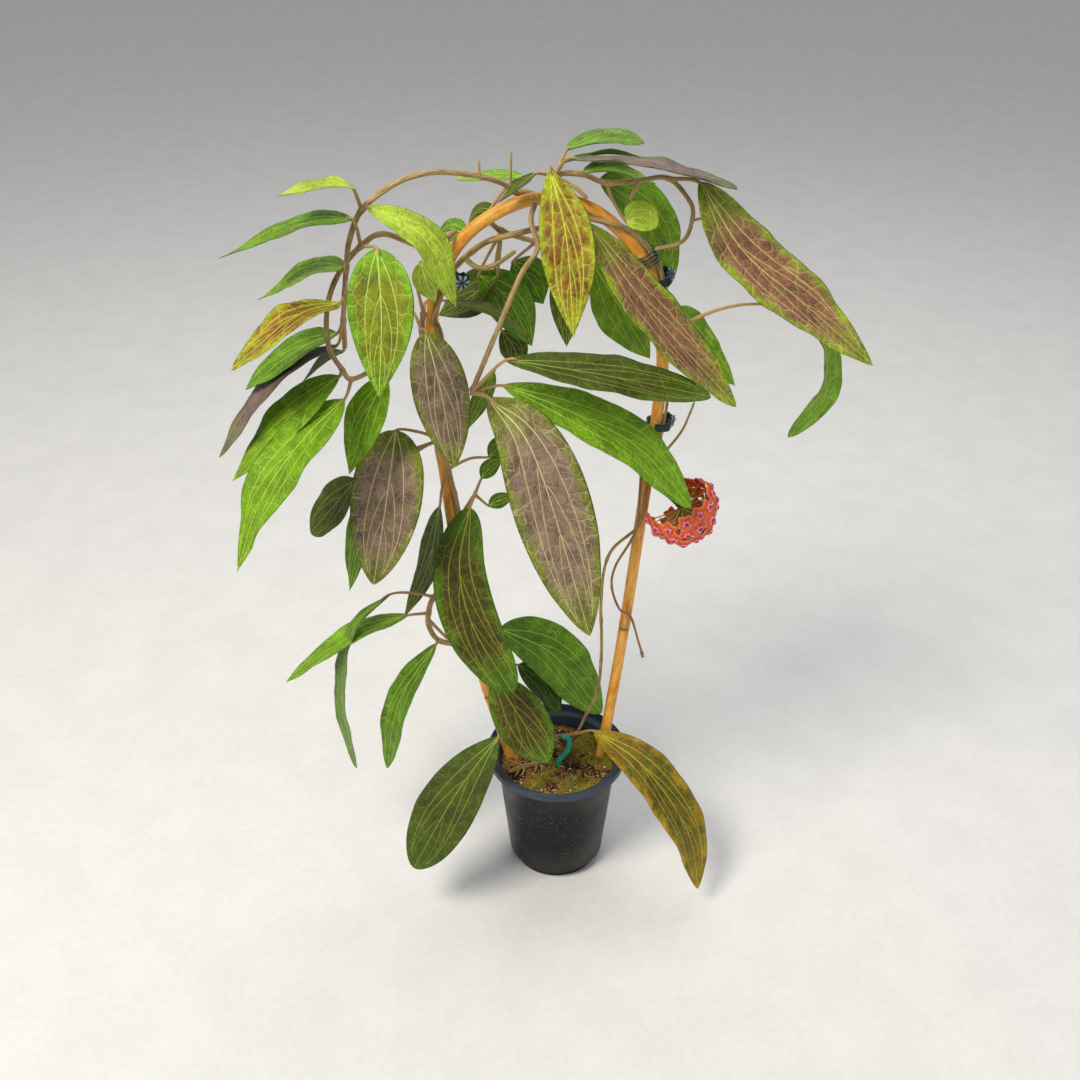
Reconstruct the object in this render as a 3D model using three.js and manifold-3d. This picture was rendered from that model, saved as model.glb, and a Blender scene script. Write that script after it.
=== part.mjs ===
// A potted hoya: long-leaved vines trained on a bent cane hoop in a nursery pot.
// Millimetres, +Z up, +X to the right, -Y to the front. The origin is the centre of the pot's underside.
import * as THREE from "three";
import { mergeVertices } from "three/addons/utils/BufferGeometryUtils.js";
import Module from "manifold-3d";

const wasm = await Module();
wasm.setup();

// Driving dimensions
const RIM_DIAMETER = 140;
const POT_HEIGHT = 138;
const POT_WALL = 1.6;
const FOOT_DIAMETER = 88;
const FOOT_HEIGHT = 8;
const BODY_FOOT_DIAMETER = 97;
const BODY_TOP_DIAMETER = 121;
const LIP_HEIGHT = 9;
const DRAIN_HOLES = 8;
const DRAIN_DIAMETER = 8;
const SOIL_TOP = 119;
const CANE_DIAMETER = 10.4;
const CANE_FOOT = 16;
const BLADE_THICKNESS = 1.2;
const FLORET_DIAMETER = 16.5;
const UMBEL_RADIUS = 30;

const CLEAR = 0.35;
const ROUND = 30;
const FRONT = new THREE.Vector3(0, -0.848, 0.53);
const UP = new THREE.Vector3(0, 0, 1);
const caneRadius = CANE_DIAMETER / 2;

// Colours
const GREEN = 0x5c8a1e;
const BRIGHT = 0x7aa92a;
const OLIVE = 0x5d6426;
const BRONZE = 0x7d6048;
const BARK = 0x8a6f52;
const CANE = 0xd98a42;
const POT_BLACK = 0x2b2d31;
const PEAT = 0x33261b;
const ORANGE = 0xe8512f;
const CLIP = 0x10303a;
const TEAL = 0x1fae8c;
const ROOT = 0xb08a4e;

// Solids

function solidOf(geometry) {
  const bare = new THREE.BufferGeometry().setAttribute("position", geometry.getAttribute("position"));
  if (geometry.index) bare.setIndex(geometry.index);
  const merged = mergeVertices(bare, 1e-4);
  const made = new wasm.Manifold(
    new wasm.Mesh({
      numProp: 3,
      vertProperties: merged.attributes.position.array,
      triVerts: new Uint32Array(merged.index.array),
    }),
  );
  if (made.volume() <= 0) throw new Error("a piece is inside out or empty");
  return made;
}

function joined(solids) {
  return solids.reduce((whole, next) => whole.add(next));
}

function geometryOf(solid) {
  const mesh = solid.getMesh();
  const geometry = new THREE.BufferGeometry();
  geometry.setAttribute("position", new THREE.BufferAttribute(new Float32Array(mesh.vertProperties), 3));
  geometry.setIndex(new THREE.BufferAttribute(new Uint32Array(mesh.triVerts), 1));
  return geometry;
}

const group = new THREE.Group();

function node(name, solid, colour, roughness = 0.7) {
  const flat = geometryOf(solid).toNonIndexed();
  flat.computeVertexNormals();
  const mesh = new THREE.Mesh(flat, new THREE.MeshStandardMaterial({ color: colour, roughness }));
  mesh.name = name;
  group.add(mesh);
}

// Curves and stems

const vector = ([x, y, z]) => new THREE.Vector3(x, y, z);
const curveThrough = (points) => new THREE.CatmullRomCurve3(points.map(vector), false, "catmullrom", 0.5);

// A closed body from rings of points; each end is closed by a fan. From side "mirrored" on, the
// four-cornered patches are split along the other diagonal.
function ringed(rings, mirrored = Infinity) {
  const sides = rings[0].length;
  const points = rings.flat();
  const faces = [];
  for (let r = 0; r + 1 < rings.length; r += 1)
    for (let s = 0; s < sides; s += 1) {
      const a = r * sides + s;
      const b = r * sides + ((s + 1) % sides);
      if (s < mirrored) faces.push(a, b, b + sides, a, b + sides, a + sides);
      else faces.push(a, b, a + sides, b, b + sides, a + sides);
    }
  const last = (rings.length - 1) * sides;
  for (let s = 1; s + 1 < sides; s += 1) {
    faces.push(0, s + 1, s);
    faces.push(last, last + s, last + s + 1);
  }
  return solidOf(indexed(points, faces));
}

function indexed(points, faces) {
  const geometry = new THREE.BufferGeometry();
  const numbers = new Float32Array(points.flatMap((point) => point.toArray()));
  geometry.setAttribute("position", new THREE.BufferAttribute(numbers, 3));
  geometry.setIndex(faces);
  return geometry;
}

// A round stem along a curve; its radius goes evenly from the first value to the last.
function tube(curve, radii, sides, steps) {
  const frames = curve.computeFrenetFrames(steps, false);
  const rings = [];
  for (let i = 0; i <= steps; i += 1) {
    const t = i / steps;
    const centre = curve.getPointAt(t);
    const radius = THREE.MathUtils.lerp(radii[0], radii[1], t);
    const ring = [];
    for (let s = 0; s < sides; s += 1) {
      const angle = (2 * Math.PI * s) / sides;
      ring.push(
        centre
          .clone()
          .addScaledVector(frames.normals[i], radius * Math.cos(angle))
          .addScaledVector(frames.binormals[i], radius * Math.sin(angle)),
      );
    }
    rings.push(ring);
  }
  return ringed(rings);
}

function stem(points, radii, sides = 6, steps = 0) {
  const curve = curveThrough(points);
  return tube(curve, radii, sides, steps || Math.round(curve.getLength() / 15));
}

// The cane

const CANE_ROUTE = [
  [-33, 10, CANE_FOOT],
  [-47, 10, 114],
  [-61, 10, 172],
  [-74, 10, 227],
  [-89, 10, 324],
  [-99, 10, 422],
  [-108, 10, 540],
  [-104, 10, 608],
  [-88, 10, 650],
  [-61, 10, 678],
  [-21, 10, 695],
  [19, 10, 689],
  [52, 10, 664],
  [76, 10, 625],
  [86, 10, 560],
  [84, 10, 507],
  [77, 10, 431],
  [62, 10, 264],
  [45, 10, 114],
  [32, 10, CANE_FOOT],
];
const CANE_KNOTS = [0.13, 0.245, 0.765, 0.888];
const KNOT_RIDGE = 0.4;
const caneCurve = curveThrough(CANE_ROUTE);

// How far along the cane, from 0 to 1, its centre is nearest to (x, z).
function caneShare(x, z) {
  let best = 0;
  let least = Infinity;
  for (let i = 0; i <= 1000; i += 1) {
    const p = caneCurve.getPoint(i / 1000);
    const far = Math.hypot(p.x - x, p.z - z);
    if (far < least) [least, best] = [far, i / 1000];
  }
  return best;
}

// The cane's centre at a share of its length, its direction and the direction away from the hoop's middle.
function caneAt(share) {
  const along = caneCurve.getTangent(share);
  const outward = along.clone().cross(new THREE.Vector3(0, 1, 0));
  return { centre: caneCurve.getPoint(share), along, outward };
}

// A direction square to the cane: 0 is its front, 90 away from the hoop's middle, 180 its back.
function aside({ outward }, bearing) {
  const angle = THREE.MathUtils.degToRad(bearing);
  return new THREE.Vector3(0, -Math.cos(angle), 0).addScaledVector(outward, Math.sin(angle));
}

// The middle of a stem of this radius that rests against the cane.
function restingAt(share, bearing, radius) {
  const cane = caneAt(share);
  return cane.centre.addScaledVector(aside(cane, bearing), caneRadius + radius + CLEAR + 0.2).toArray();
}

const besideCane = (x, z, bearing, radius) => restingAt(caneShare(x, z), bearing, radius);

// The middle of a stem that winds along the cane through stops of [x, z, bearing].
function wound(stops, radius) {
  const points = [];
  stops.slice(1).forEach(([x, z, bearing], i) => {
    const [fromX, fromZ, fromBearing] = stops[i];
    const [start, end] = [caneShare(fromX, fromZ), caneShare(x, z)];
    const length = caneCurve.getPoint(start).distanceTo(caneCurve.getPoint(end));
    const parts = Math.max(1, Math.ceil(length / 34), Math.ceil(Math.abs(bearing - fromBearing) / 26));
    for (let k = i === 0 ? 0 : 1; k <= parts; k += 1) {
      const share = THREE.MathUtils.lerp(start, end, k / parts);
      points.push(restingAt(share, THREE.MathUtils.lerp(fromBearing, bearing, k / parts), radius));
    }
  });
  return points;
}

// The cane, with a low ridge at each knot
function caneHoop() {
  const stations = [];
  const spans = CANE_ROUTE.length - 1;
  for (let i = 0; i < spans; i += 1) {
    const cuts = i > 5 && i < 15 ? 3 : 2;
    for (let k = 0; k < cuts; k += 1) stations.push([(i + k / cuts) / spans, caneRadius]);
  }
  stations.push([1, caneRadius]);
  CANE_KNOTS.forEach((knot) =>
    stations.push([knot - 0.0016, caneRadius], [knot, caneRadius + KNOT_RIDGE], [knot + 0.0016, caneRadius]),
  );
  stations.sort((a, b) => a[0] - b[0]);
  const rings = stations.map(([share, radius]) => {
    const cane = caneAt(share);
    const ring = [];
    for (let s = 0; s < 8; s += 1)
      ring.push(cane.centre.clone().addScaledVector(aside(cane, -45 * s), radius));
    return ring;
  });
  return ringed(rings);
}

// The pot and its soil

function wallRadius(z) {
  const [low, high] = [FOOT_HEIGHT + 2, POT_HEIGHT - LIP_HEIGHT];
  return THREE.MathUtils.mapLinear(z, low, high, BODY_FOOT_DIAMETER / 2, BODY_TOP_DIAMETER / 2);
}

function turned(profile, segments) {
  const points = profile.map(([r, z]) => new THREE.Vector2(r, z));
  const geometry = new THREE.LatheGeometry(points, segments);
  geometry.rotateX(Math.PI / 2);
  return solidOf(geometry);
}

function pot() {
  const shoulder = POT_HEIGHT - LIP_HEIGHT;
  const rim = RIM_DIAMETER / 2;
  const foot = FOOT_DIAMETER / 2;
  const shell = turned(
    [
      [0, 0],
      [foot - 1, 0],
      [foot, FOOT_HEIGHT],
      [wallRadius(FOOT_HEIGHT + 2), FOOT_HEIGHT + 2],
      [wallRadius(shoulder), shoulder],
      [rim - 0.6, shoulder],
      [rim, POT_HEIGHT - 0.8],
      [rim - 0.6, POT_HEIGHT],
      [rim - POT_WALL, POT_HEIGHT],
      [rim - POT_WALL - 0.6, shoulder + POT_WALL],
      [wallRadius(shoulder) - POT_WALL, shoulder + POT_WALL],
      [wallRadius(FOOT_HEIGHT + 4) - POT_WALL, FOOT_HEIGHT + 4],
      [foot - POT_WALL, FOOT_HEIGHT + 4],
      [foot - POT_WALL, 2],
      [0, 2],
    ],
    ROUND,
  );
  const tab = new THREE.Shape();
  tab.absarc(0, 0, rim + 0.7, THREE.MathUtils.degToRad(-106), THREE.MathUtils.degToRad(-78), false);
  tab.absarc(0, 0, rim - 0.8, THREE.MathUtils.degToRad(-78), THREE.MathUtils.degToRad(-106), true);
  const tabSolid = extruded(tab, 5).translate(0, 0, shoulder + 1.5);
  const holes = [];
  for (let i = 0; i < DRAIN_HOLES; i += 1) {
    const angle = (2 * Math.PI * i) / DRAIN_HOLES;
    holes.push(
      turned([[0, -1], [DRAIN_DIAMETER / 2, -1], [DRAIN_DIAMETER / 2, 3], [0, 3]], 6).translate(
        31 * Math.cos(angle),
        31 * Math.sin(angle),
        0,
      ),
    );
  }
  return shell.add(tabSolid).subtract(joined(holes));
}

function extruded(shape, depth, curveSegments = 6) {
  return solidOf(new THREE.ExtrudeGeometry(shape, { depth, bevelEnabled: false, curveSegments }));
}

// A plain hole in the soil round the buried end of a stem.
function hole(curve, radius, fromEnd = false) {
  const points = [];
  for (let i = 0; i <= 400; i += 8) {
    const point = curve.getPointAt(fromEnd ? 1 - i / 400 : i / 400);
    points.push(point);
    if (point.z > SOIL_TOP + 5) break;
  }
  const down = points[0].clone().sub(points[1]).normalize();
  points[0].addScaledVector(down, 0.5);
  const reach = (radius + CLEAR + 0.15) / Math.cos(Math.PI / 8);
  return tube(curveThrough(points.map((p) => p.toArray())), [reach, reach], 8, points.length - 1);
}

function soil(holes) {
  const wall = (z) => wallRadius(z) - POT_WALL - CLEAR;
  const foot = FOOT_DIAMETER / 2 - POT_WALL - CLEAR;
  const plug = turned(
    [
      [0, 2 + CLEAR],
      [foot, 2 + CLEAR],
      [foot, FOOT_HEIGHT + 4 + CLEAR],
      [wall(FOOT_HEIGHT + 4 + CLEAR), FOOT_HEIGHT + 4 + CLEAR],
      [wall(SOIL_TOP - 3), SOIL_TOP - 3],
      [wall(SOIL_TOP) - 3, SOIL_TOP],
      [0, SOIL_TOP],
    ],
    ROUND,
  );
  return plug.subtract(joined(holes));
}

// Leaves

// How wide a blade is at a share u of its length, as a share of its full width.
function outline(u, base, belly) {
  const tip = (base * (1 - belly)) / belly;
  const full = belly ** base * (1 - belly) ** tip;
  return (u ** base * (1 - u) ** tip) / full;
}

// The six points round one cut through a stalk, or through a blade's thickness from edge to edge.
function stalkCut(centre, side, normal, radius) {
  return [150, 90, 30, -30, -90, -150].map((degrees) => {
    const angle = THREE.MathUtils.degToRad(degrees);
    return centre
      .clone()
      .addScaledVector(side, radius * Math.cos(angle))
      .addScaledVector(normal, radius * Math.sin(angle));
  });
}

function bladeCut(centre, side, normal, half, fold, ripple) {
  const at = (v, up) =>
    centre
      .clone()
      .addScaledVector(side, half * v)
      .addScaledVector(normal, Math.abs(v) * half * fold + v * ripple + (up * BLADE_THICKNESS) / 2);
  return [at(-1, 1), at(0, 1), at(1, 1), at(1, -1), at(0, -1), at(-1, -1)];
}

// One leaf: a stalk from its root on the stem by way of "via", then the blade along its rib.
// turn is the blade's roll about the rib, in degrees, from facing the front and above; fold lifts the
// edges, and wave is the height of the ripples along them.
function leaf(root, form) {
  const { rib, via = [], width, turn = 0, belly = 0.4, base = 0.72 } = form;
  const { fold = 0.12, wave = 0, stalk = 1.6, steps = 6 } = form;
  const curve = curveThrough(rib);
  const roll = THREE.MathUtils.degToRad(turn);
  const cuts = [];
  let firstSide;
  for (let i = 0; i <= steps; i += 1) {
    const u = i / steps;
    const along = curve.getTangentAt(u);
    const face = FRONT.clone().addScaledVector(along, -FRONT.dot(along)).normalize();
    const level = along.clone().cross(face);
    const side = level.multiplyScalar(Math.cos(roll)).addScaledVector(face, Math.sin(roll));
    const half = Math.max((outline(u, base, belly) * width) / 2, i === 0 ? 1.3 : 0.5);
    const ripple = wave * Math.sin(u * 15) * Math.sin(Math.PI * u);
    cuts.push(bladeCut(curve.getPointAt(u), side, side.clone().cross(along), half, fold, ripple));
    firstSide ??= side;
  }
  const stalkCurve = curveThrough([root, ...via, rib[0], curve.getPointAt(0.12).toArray()]);
  const spans = via.length + 2;
  const stalkCuts = [];
  for (let k = 0; k < 2 * (spans - 1); k += 1) {
    const t = k / (2 * spans);
    const along = stalkCurve.getTangent(t);
    const side = firstSide.clone().addScaledVector(along, -firstSide.dot(along)).normalize();
    const radius = THREE.MathUtils.lerp(stalk, 0.95, k / (2 * (spans - 1)));
    stalkCuts.push(stalkCut(stalkCurve.getPoint(t), side, side.clone().cross(along), radius));
  }
  return ringed([...stalkCuts, ...cuts], 3);
}

function shoot(route, radii, leaves, extras = []) {
  const blades = leaves.map((one) => leaf(one.root ?? route.at(one.at), one));
  return joined([stem(route, radii), ...blades, ...extras]);
}

// The shoots on the left

const archRoute = [
  ...wound([[-20, 695, 180], [-34, 692, 115]], 2.6),
  [-47, 2, 710],
  [-70, -15, 721],
  [-98, -35, 728],
  [-123, -50, 724],
  [-147, -60, 708],
  [-157, -66, 687],
  [-161, -66, 666],
  [-165, -60, 643],
  [-169, -52, 619],
  [-171, -44, 594],
];
const arch = shoot(
  archRoute,
  [2.4, 2],
  [
    {
      at: -6,
      rib: [[-152, -64, 726], [-168, -72, 729], [-203, -84, 725]],
      width: 38,
      turn: -60,
      belly: 0.25,
      base: 0.35,
    },
    { at: -6, rib: [[-143, -66, 712], [-102, -70, 689], [-80, -74, 639]], width: 38, turn: 46, belly: 0.44 },
    {
      at: -4,
      rib: [[-162, -66, 666], [-188, -62, 662], [-232, -56, 637]],
      width: 42,
      turn: -57,
      belly: 0.32,
      base: 0.6,
    },
    {
      at: -3,
      rib: [[-167, -72, 641], [-197, -100, 640], [-245, -112, 604]],
      width: 46,
      turn: -50,
      belly: 0.48,
    },
    {
      at: -2,
      rib: [[-176, -44, 605], [-208, -48, 592], [-251, -56, 562]],
      width: 46,
      turn: -52,
      belly: 0.45,
    },
    { at: -2, rib: [[-176, -48, 597], [-222, -64, 576], [-273, -80, 514]], width: 40, turn: -58, belly: 0.5 },
    { at: -1, rib: [[-174, -38, 587], [-187, -40, 581], [-207, -44, 564]], width: 28, turn: -65 },
  ],
  [
    stem([[-63, -11, 718], [-63, -11, 731]], [1.2, 0.8], 4, 1),
    stem([[-40, 6, 705], [-39, 6, 733]], [1.2, 0.8], 4, 1),
  ],
);
node("arching_shoot", arch, BRIGHT);

const droopRoute = [
  besideCane(-80, 664, 100, 2.4),
  [-105, -26, 669],
  [-134, -48, 686],
  [-150, -58, 680],
  [-167, -50, 660],
  [-176, -62, 643],
  [-180, -66, 621],
  [-179, -66, 600],
  [-171, -66, 584],
  [-165, -62, 574],
  [-149, -46, 575],
];
const droop = shoot(
  droopRoute,
  [2.4, 2],
  [
    { at: 3, rib: [[-152, -74, 705], [-187, -76, 702], [-250, -86, 680]], width: 38, turn: -57, belly: 0.34 },
    {
      rib: [[-134, -90, 689], [-131, -114, 646], [-135, -128, 590]],
      at: 3,
      width: 48,
      belly: 0.38,
      base: 0.62,
    },
    { at: 8, rib: [[-173, -70, 580], [-209, -80, 553], [-262, -92, 499]], width: 44, turn: -38 },
    {
      rib: [[-169, -80, 565], [-199, -106, 543], [-231, -130, 504], [-255, -142, 445]],
      at: 9,
      width: 48,
      turn: -30,
      belly: 0.37,
      wave: 2,
    },
    { at: 10, rib: [[-139, -50, 571], [-157, -60, 537], [-172, -72, 494]], width: 36, turn: -20 },
  ],
);
node("drooping_shoot", droop, GREEN);

const sideRoute = wound([[-106, 600, 80], [-108, 585, 80], [-107, 548, 80]], 2.2);
const sideShoot = shoot(
  sideRoute,
  [2.2, 2],
  [
    {
      root: besideCane(-108, 585, 80, 2.2),
      rib: [[-108, -30, 601], [-96, -50, 555], [-87, -62, 495]],
      via: [[-114, -14, 596]],
      width: 45,
      belly: 0.42,
      base: 0.62,
    },
    { at: 0, rib: [[-111, -10, 651], [-107, -14, 635], [-100, -16, 620]], via: [[-116, 0, 630]], width: 20 },
    {
      rib: [[-92, 22, 606], [-57, 2, 604], [-24, -6, 584]],
      via: [[-110, 24, 606]],
      at: 0,
      width: 26,
      turn: 60,
    },
    {
      root: besideCane(-108, 585, 80, 2.2),
      rib: [[-141, 40, 596], [-150, 48, 558], [-160, 52, 513]],
      via: [[-124, 26, 596]],
      width: 36,
    },
  ],
);
node("left_leg_shoot", sideShoot, BRONZE);

const midRoute = wound([[-107, 527, 20], [-102, 487, 0], [-98, 458, -35], [-93, 405, -80]], 2.2);
const midShoot = shoot(
  midRoute,
  [2.2, 2.2],
  [
    {
      root: besideCane(-102, 487, 0, 2.2),
      rib: [[-137, -30, 513], [-145, -60, 463], [-158, -84, 394]],
      via: [[-116, -14, 502]],
      width: 60,
      base: 0.5,
      belly: 0.4,
    },
    {
      root: besideCane(-102, 487, 0, 2.2),
      rib: [[-177, -10, 454], [-198, -8, 428], [-223, -6, 397]],
      via: [[-130, -10, 482]],
      width: 46,
      turn: -38,
      belly: 0.5,
    },
    {
      root: besideCane(-98, 458, -35, 2.2),
      rib: [[-106, -4, 424], [-120, 2, 356], [-147, 8, 293]],
      via: [[-103, -8, 444]],
      width: 26,
      turn: -30,
    },
    {
      root: besideCane(-98, 458, -35, 2.2),
      rib: [[-62, 10, 466], [-52, 14, 475], [-40, 16, 486]],
      via: [[-78, 4, 468]],
      width: 18,
    },
    {
      rib: [[-79, -10, 426], [-88, -40, 382], [-76, -62, 333], [-42, -76, 271]],
      via: [[-75, 0, 434]],
      at: -1,
      width: 50,
      base: 0.5,
      belly: 0.5,
      stalk: 2,
    },
    { root: [-75, 0, 434], rib: [[-69, 8, 446], [-61, 14, 454], [-50, 18, 461]], width: 15 },
    { root: [-75, 0, 434], rib: [[-63, 2, 421], [-54, 6, 424], [-40, 10, 428]], width: 14 },
    {
      root: besideCane(-102, 487, 0, 2.2),
      rib: [[-132, -20, 478], [-168, -34, 426], [-187, -40, 358]],
      via: [[-116, -12, 488]],
      width: 34,
      turn: -24,
    },
  ],
);
node("left_middle_shoot", midShoot, OLIVE);

const loopRoute = [
  besideCane(-80, 262, 60, 1.1),
  [-112, -6, 277],
  [-121, -10, 296],
  [-121, -10, 312],
  [-115, -8, 329],
  besideCane(-92, 342, 40, 1.1),
];
const loopShoot = shoot(
  loopRoute,
  [2.6, 2.6],
  [
    {
      rib: [[-155, -14, 336], [-190, -26, 304], [-205, -36, 232], [-197, -44, 151]],
      via: [[-133, -12, 336]],
      at: 4,
      width: 30,
      turn: -60,
      belly: 0.6,
    },
    { at: 3, rib: [[-139, -16, 314], [-194, -24, 295], [-256, -36, 251]], width: 34, turn: -58, belly: 0.45 },
    { at: 1, rib: [[-115, -12, 278], [-152, -26, 219], [-168, -36, 143]], width: 34, turn: -40, belly: 0.5 },
  ],
  [stem([[-121, -12, 306], [-110, -15, 294], [-101, -15, 283]], [1.8, 1.5], 5, 2)],
);
node("looped_shoot", loopShoot, GREEN);

// The shoots in the middle and at the top

const middleRoute = [
  besideCane(-21, 695, -10, 2.2),
  [-24, -8, 683],
  [-19, -16, 664],
  [-32, -24, 645],
  [-50, -36, 606],
  [-72, -48, 556],
];
const middleShoot = shoot(
  middleRoute,
  [2.2, 2.2],
  [
    {
      rib: [[-58, -56, 555], [-21, -86, 517], [25, -112, 361]],
      at: 5,
      width: 64,
      base: 0.7,
      belly: 0.46,
      stalk: 2.2,
    },
    {
      rib: [[-47, -50, 563], [6, -54, 542], [62, -57, 511], [110, -58, 454]],
      at: 5,
      width: 48,
      turn: 30,
      base: 0.75,
      belly: 0.5,
    },
    {
      rib: [[-44, -62, 590], [30, -70, 581], [116, -78, 566]],
      at: 5,
      width: 42,
      turn: 38,
      base: 0.75,
      belly: 0.55,
    },
    { at: 5, rib: [[-54, -42, 572], [-65, -34, 545], [-79, -28, 511]], width: 16, turn: 20 },
  ],
  [stem([[-19, -16, 664], [-12, -14, 672]], [1.8, 1.4], 5, 1)],
);
node("middle_shoot", middleShoot, BRONZE);

const crownRoute = [
  besideCane(-5, 694, 180, 2.4),
  [-5, 14, 712],
  [15, 4, 716],
  [34, -2, 711],
  [59, -6, 714],
  [81, -8, 716],
  [99, -6, 697],
  [102, 0, 681],
  [96, 4, 663],
  [74, 2, 657],
];
const crownShoot = shoot(
  crownRoute,
  [2.4, 1.6],
  [
    {
      rib: [[-10, -18, 727], [3, -40, 679], [9, -58, 607]],
      at: 1,
      width: 42,
      base: 1,
      belly: 0.46,
      wave: 1.5,
    },
    { at: 1, rib: [[4, -8, 731], [65, -26, 730], [129, -40, 717]], width: 48, turn: 64, belly: 0.6 },
    { at: 1, rib: [[4, 26, 729], [34, 40, 733], [65, 46, 730]], width: 45, turn: 56, belly: 0.6 },
    { at: 1, rib: [[-1, 22, 720], [34, 30, 725], [68, 34, 720]], width: 34, turn: 72 },
    { at: 2, rib: [[17, 12, 715], [42, 22, 714], [75, 26, 702]], width: 38, turn: 58 },
    { at: 3, rib: [[30, 24, 706], [67, 44, 672], [92, 54, 606]], width: 54, turn: 24, base: 0.6, belly: 0.5 },
    {
      rib: [[51, 4, 678], [61, 4, 682], [76, 4, 676]],
      via: [[40, 4, 695]],
      at: 3,
      width: 24,
      base: 0.5,
      belly: 0.42,
      fold: 0.45,
    },
    {
      rib: [[103, -22, 717], [138, -42, 669], [186, -58, 633], [241, -68, 588]],
      at: 5,
      width: 56,
      turn: 24,
      base: 0.65,
      belly: 0.42,
      stalk: 2,
    },
    { at: 1, rib: [[-20, -8, 720], [-34, -9, 709], [-50, -8, 697]], width: 22, turn: -60 },
  ],
  [
    stem([[-5, 12, 711], [10, 3, 706], [20, 0, 698]], [1.8, 1.6], 5, 3),
    stem([[59, -6, 714], [52, -6, 699]], [2, 1.6], 5, 1),
    stem([[102, 0, 681], [113, 2, 683]], [1.4, 1], 4, 1),
  ],
);
node("crown_shoot", crownShoot, BRIGHT);

const shoulderRoute = [
  ...wound([[20, 689, -60], [36, 677, 0], [50, 666, 60], [64, 649, 90], [80, 613, 90]], 2.4),
  [95, 1, 605],
  [101, -6, 598],
];
const shoulderShoot = shoot(
  shoulderRoute,
  [2.2, 2.2],
  [
    {
      rib: [[20, -20, 685], [65, -42, 627], [140, -56, 547]],
      via: [[17, -6, 681]],
      at: 0,
      width: 52,
      turn: 36,
      base: 0.7,
      belly: 0.48,
    },
    {
      at: -1,
      rib: [[181, -10, 613], [217, -8, 581], [221, -12, 539], [194, -14, 498]],
      via: [[126, -10, 611], [152, -10, 616]],
      width: 34,
      turn: 50,
      base: 0.7,
      belly: 0.55,
    },
    { at: -1, rib: [[98, 10, 606], [110, 16, 578], [150, 16, 532]], width: 40, turn: 30 },
  ],
);
node("shoulder_shoot", shoulderShoot, BRONZE);

// The shoots behind the hoop

const behindRoute = [
  besideCane(-61, 678, 180, 2.2),
  [-48, 24, 665],
  [-20, 24, 656],
  [8, 25, 652],
  [30, 27, 640],
];
const behindShoot = shoot(
  behindRoute,
  [2.2, 1.8],
  [
    { at: 1, rib: [[-53, 43, 620], [-78, 46, 599], [-104, 48, 583]], width: 40, turn: -20, steps: 5 },
    { at: 1, rib: [[-68, 42, 622], [-44, 46, 598], [-24, 50, 554]], width: 40, steps: 5 },
    { at: 2, rib: [[-40, 56, 628], [-26, 60, 611], [-14, 62, 588]], width: 36, steps: 5 },
    { at: 3, rib: [[2, 34, 633], [5, 40, 600], [6, 42, 557]], width: 28, steps: 5 },
    { at: 4, rib: [[26, 34, 634], [47, 42, 598], [79, 48, 543]], width: 56, turn: 20, steps: 5 },
    { at: 0, rib: [[-52, 30, 675], [-62, 31, 676], [-75, 32, 668]], width: 24, turn: -30, steps: 5 },
    { at: 0, rib: [[-77, 32, 660], [-88, 34, 661], [-102, 36, 655]], width: 26, turn: -30, steps: 5 },
    {
      rib: [[-30, 36, 705], [-56, 40, 703], [-86, 42, 701]],
      via: [[-44, 30, 698]],
      at: 0,
      width: 28,
      turn: -55,
      steps: 5,
    },
    {
      rib: [[52, 70, 616], [86, 84, 571], [124, 92, 517]],
      via: [[26, 46, 640]],
      at: 3,
      width: 40,
      turn: 20,
      steps: 5,
    },
    {
      rib: [[-51, 70, 560], [-41, 72, 545], [-34, 74, 522]],
      via: [[-56, 66, 610]],
      at: 1,
      width: 26,
      steps: 5,
    },
  ],
);
node("behind_shoot", behindShoot, OLIVE);

// The shoots low on the hoop

const footRoute = wound([[-83, 290, -50], [-74, 233, -30], [-67, 195, -30]], 2.2);
const footShoot = shoot(
  footRoute,
  [2.2, 2.2],
  [
    {
      root: besideCane(-74, 233, -30, 2.2),
      rib: [[-61, -26, 250], [-38, -46, 221], [-9, -60, 173]],
      width: 50,
      belly: 0.5,
    },
    {
      rib: [[-56, 24, 269], [-4, 32, 231], [46, 30, 158]],
      at: 0,
      width: 60,
      turn: 28,
      base: 0.6,
      belly: 0.45,
    },
    {
      root: besideCane(-74, 233, -30, 2.2),
      rib: [[-39, 24, 225], [-12, 22, 201], [3, 20, 163]],
      via: [[-56, 12, 232]],
      width: 34,
      turn: 30,
    },
    { at: 0, rib: [[-34, 50, 229], [0, 60, 193], [33, 64, 149]], via: [[-58, 34, 260]], width: 44, turn: 24 },
    {
      rib: [[-57, -40, 188], [-99, -74, 142], [-140, -100, 72]],
      at: -1,
      width: 58,
      turn: -14,
      base: 0.8,
      belly: 0.56,
      stalk: 2,
    },
  ],
);
node("foot_shoot", footShoot, OLIVE);

const knuckleRoute = [
  [-4, 12, 96],
  [-5, 13, 124],
  [-4, 14, 140],
  [-6, 14, 158],
];
const lowRight = joined([
  stem(knuckleRoute, [3, 2.4], 6, 5),
  leaf([-4, 14, 140], {
    rib: [[37, 0, 160], [85, -34, 143], [128, -66, 89], [141, -88, 30]],
    via: [[19, 8, 149]],
    width: 52,
    turn: 36,
    base: 0.7,
    belly: 0.48,
    stalk: 2.2,
  }),
]);
node("low_right_leaf", lowRight, OLIVE);

// Bare climbing stems

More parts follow.
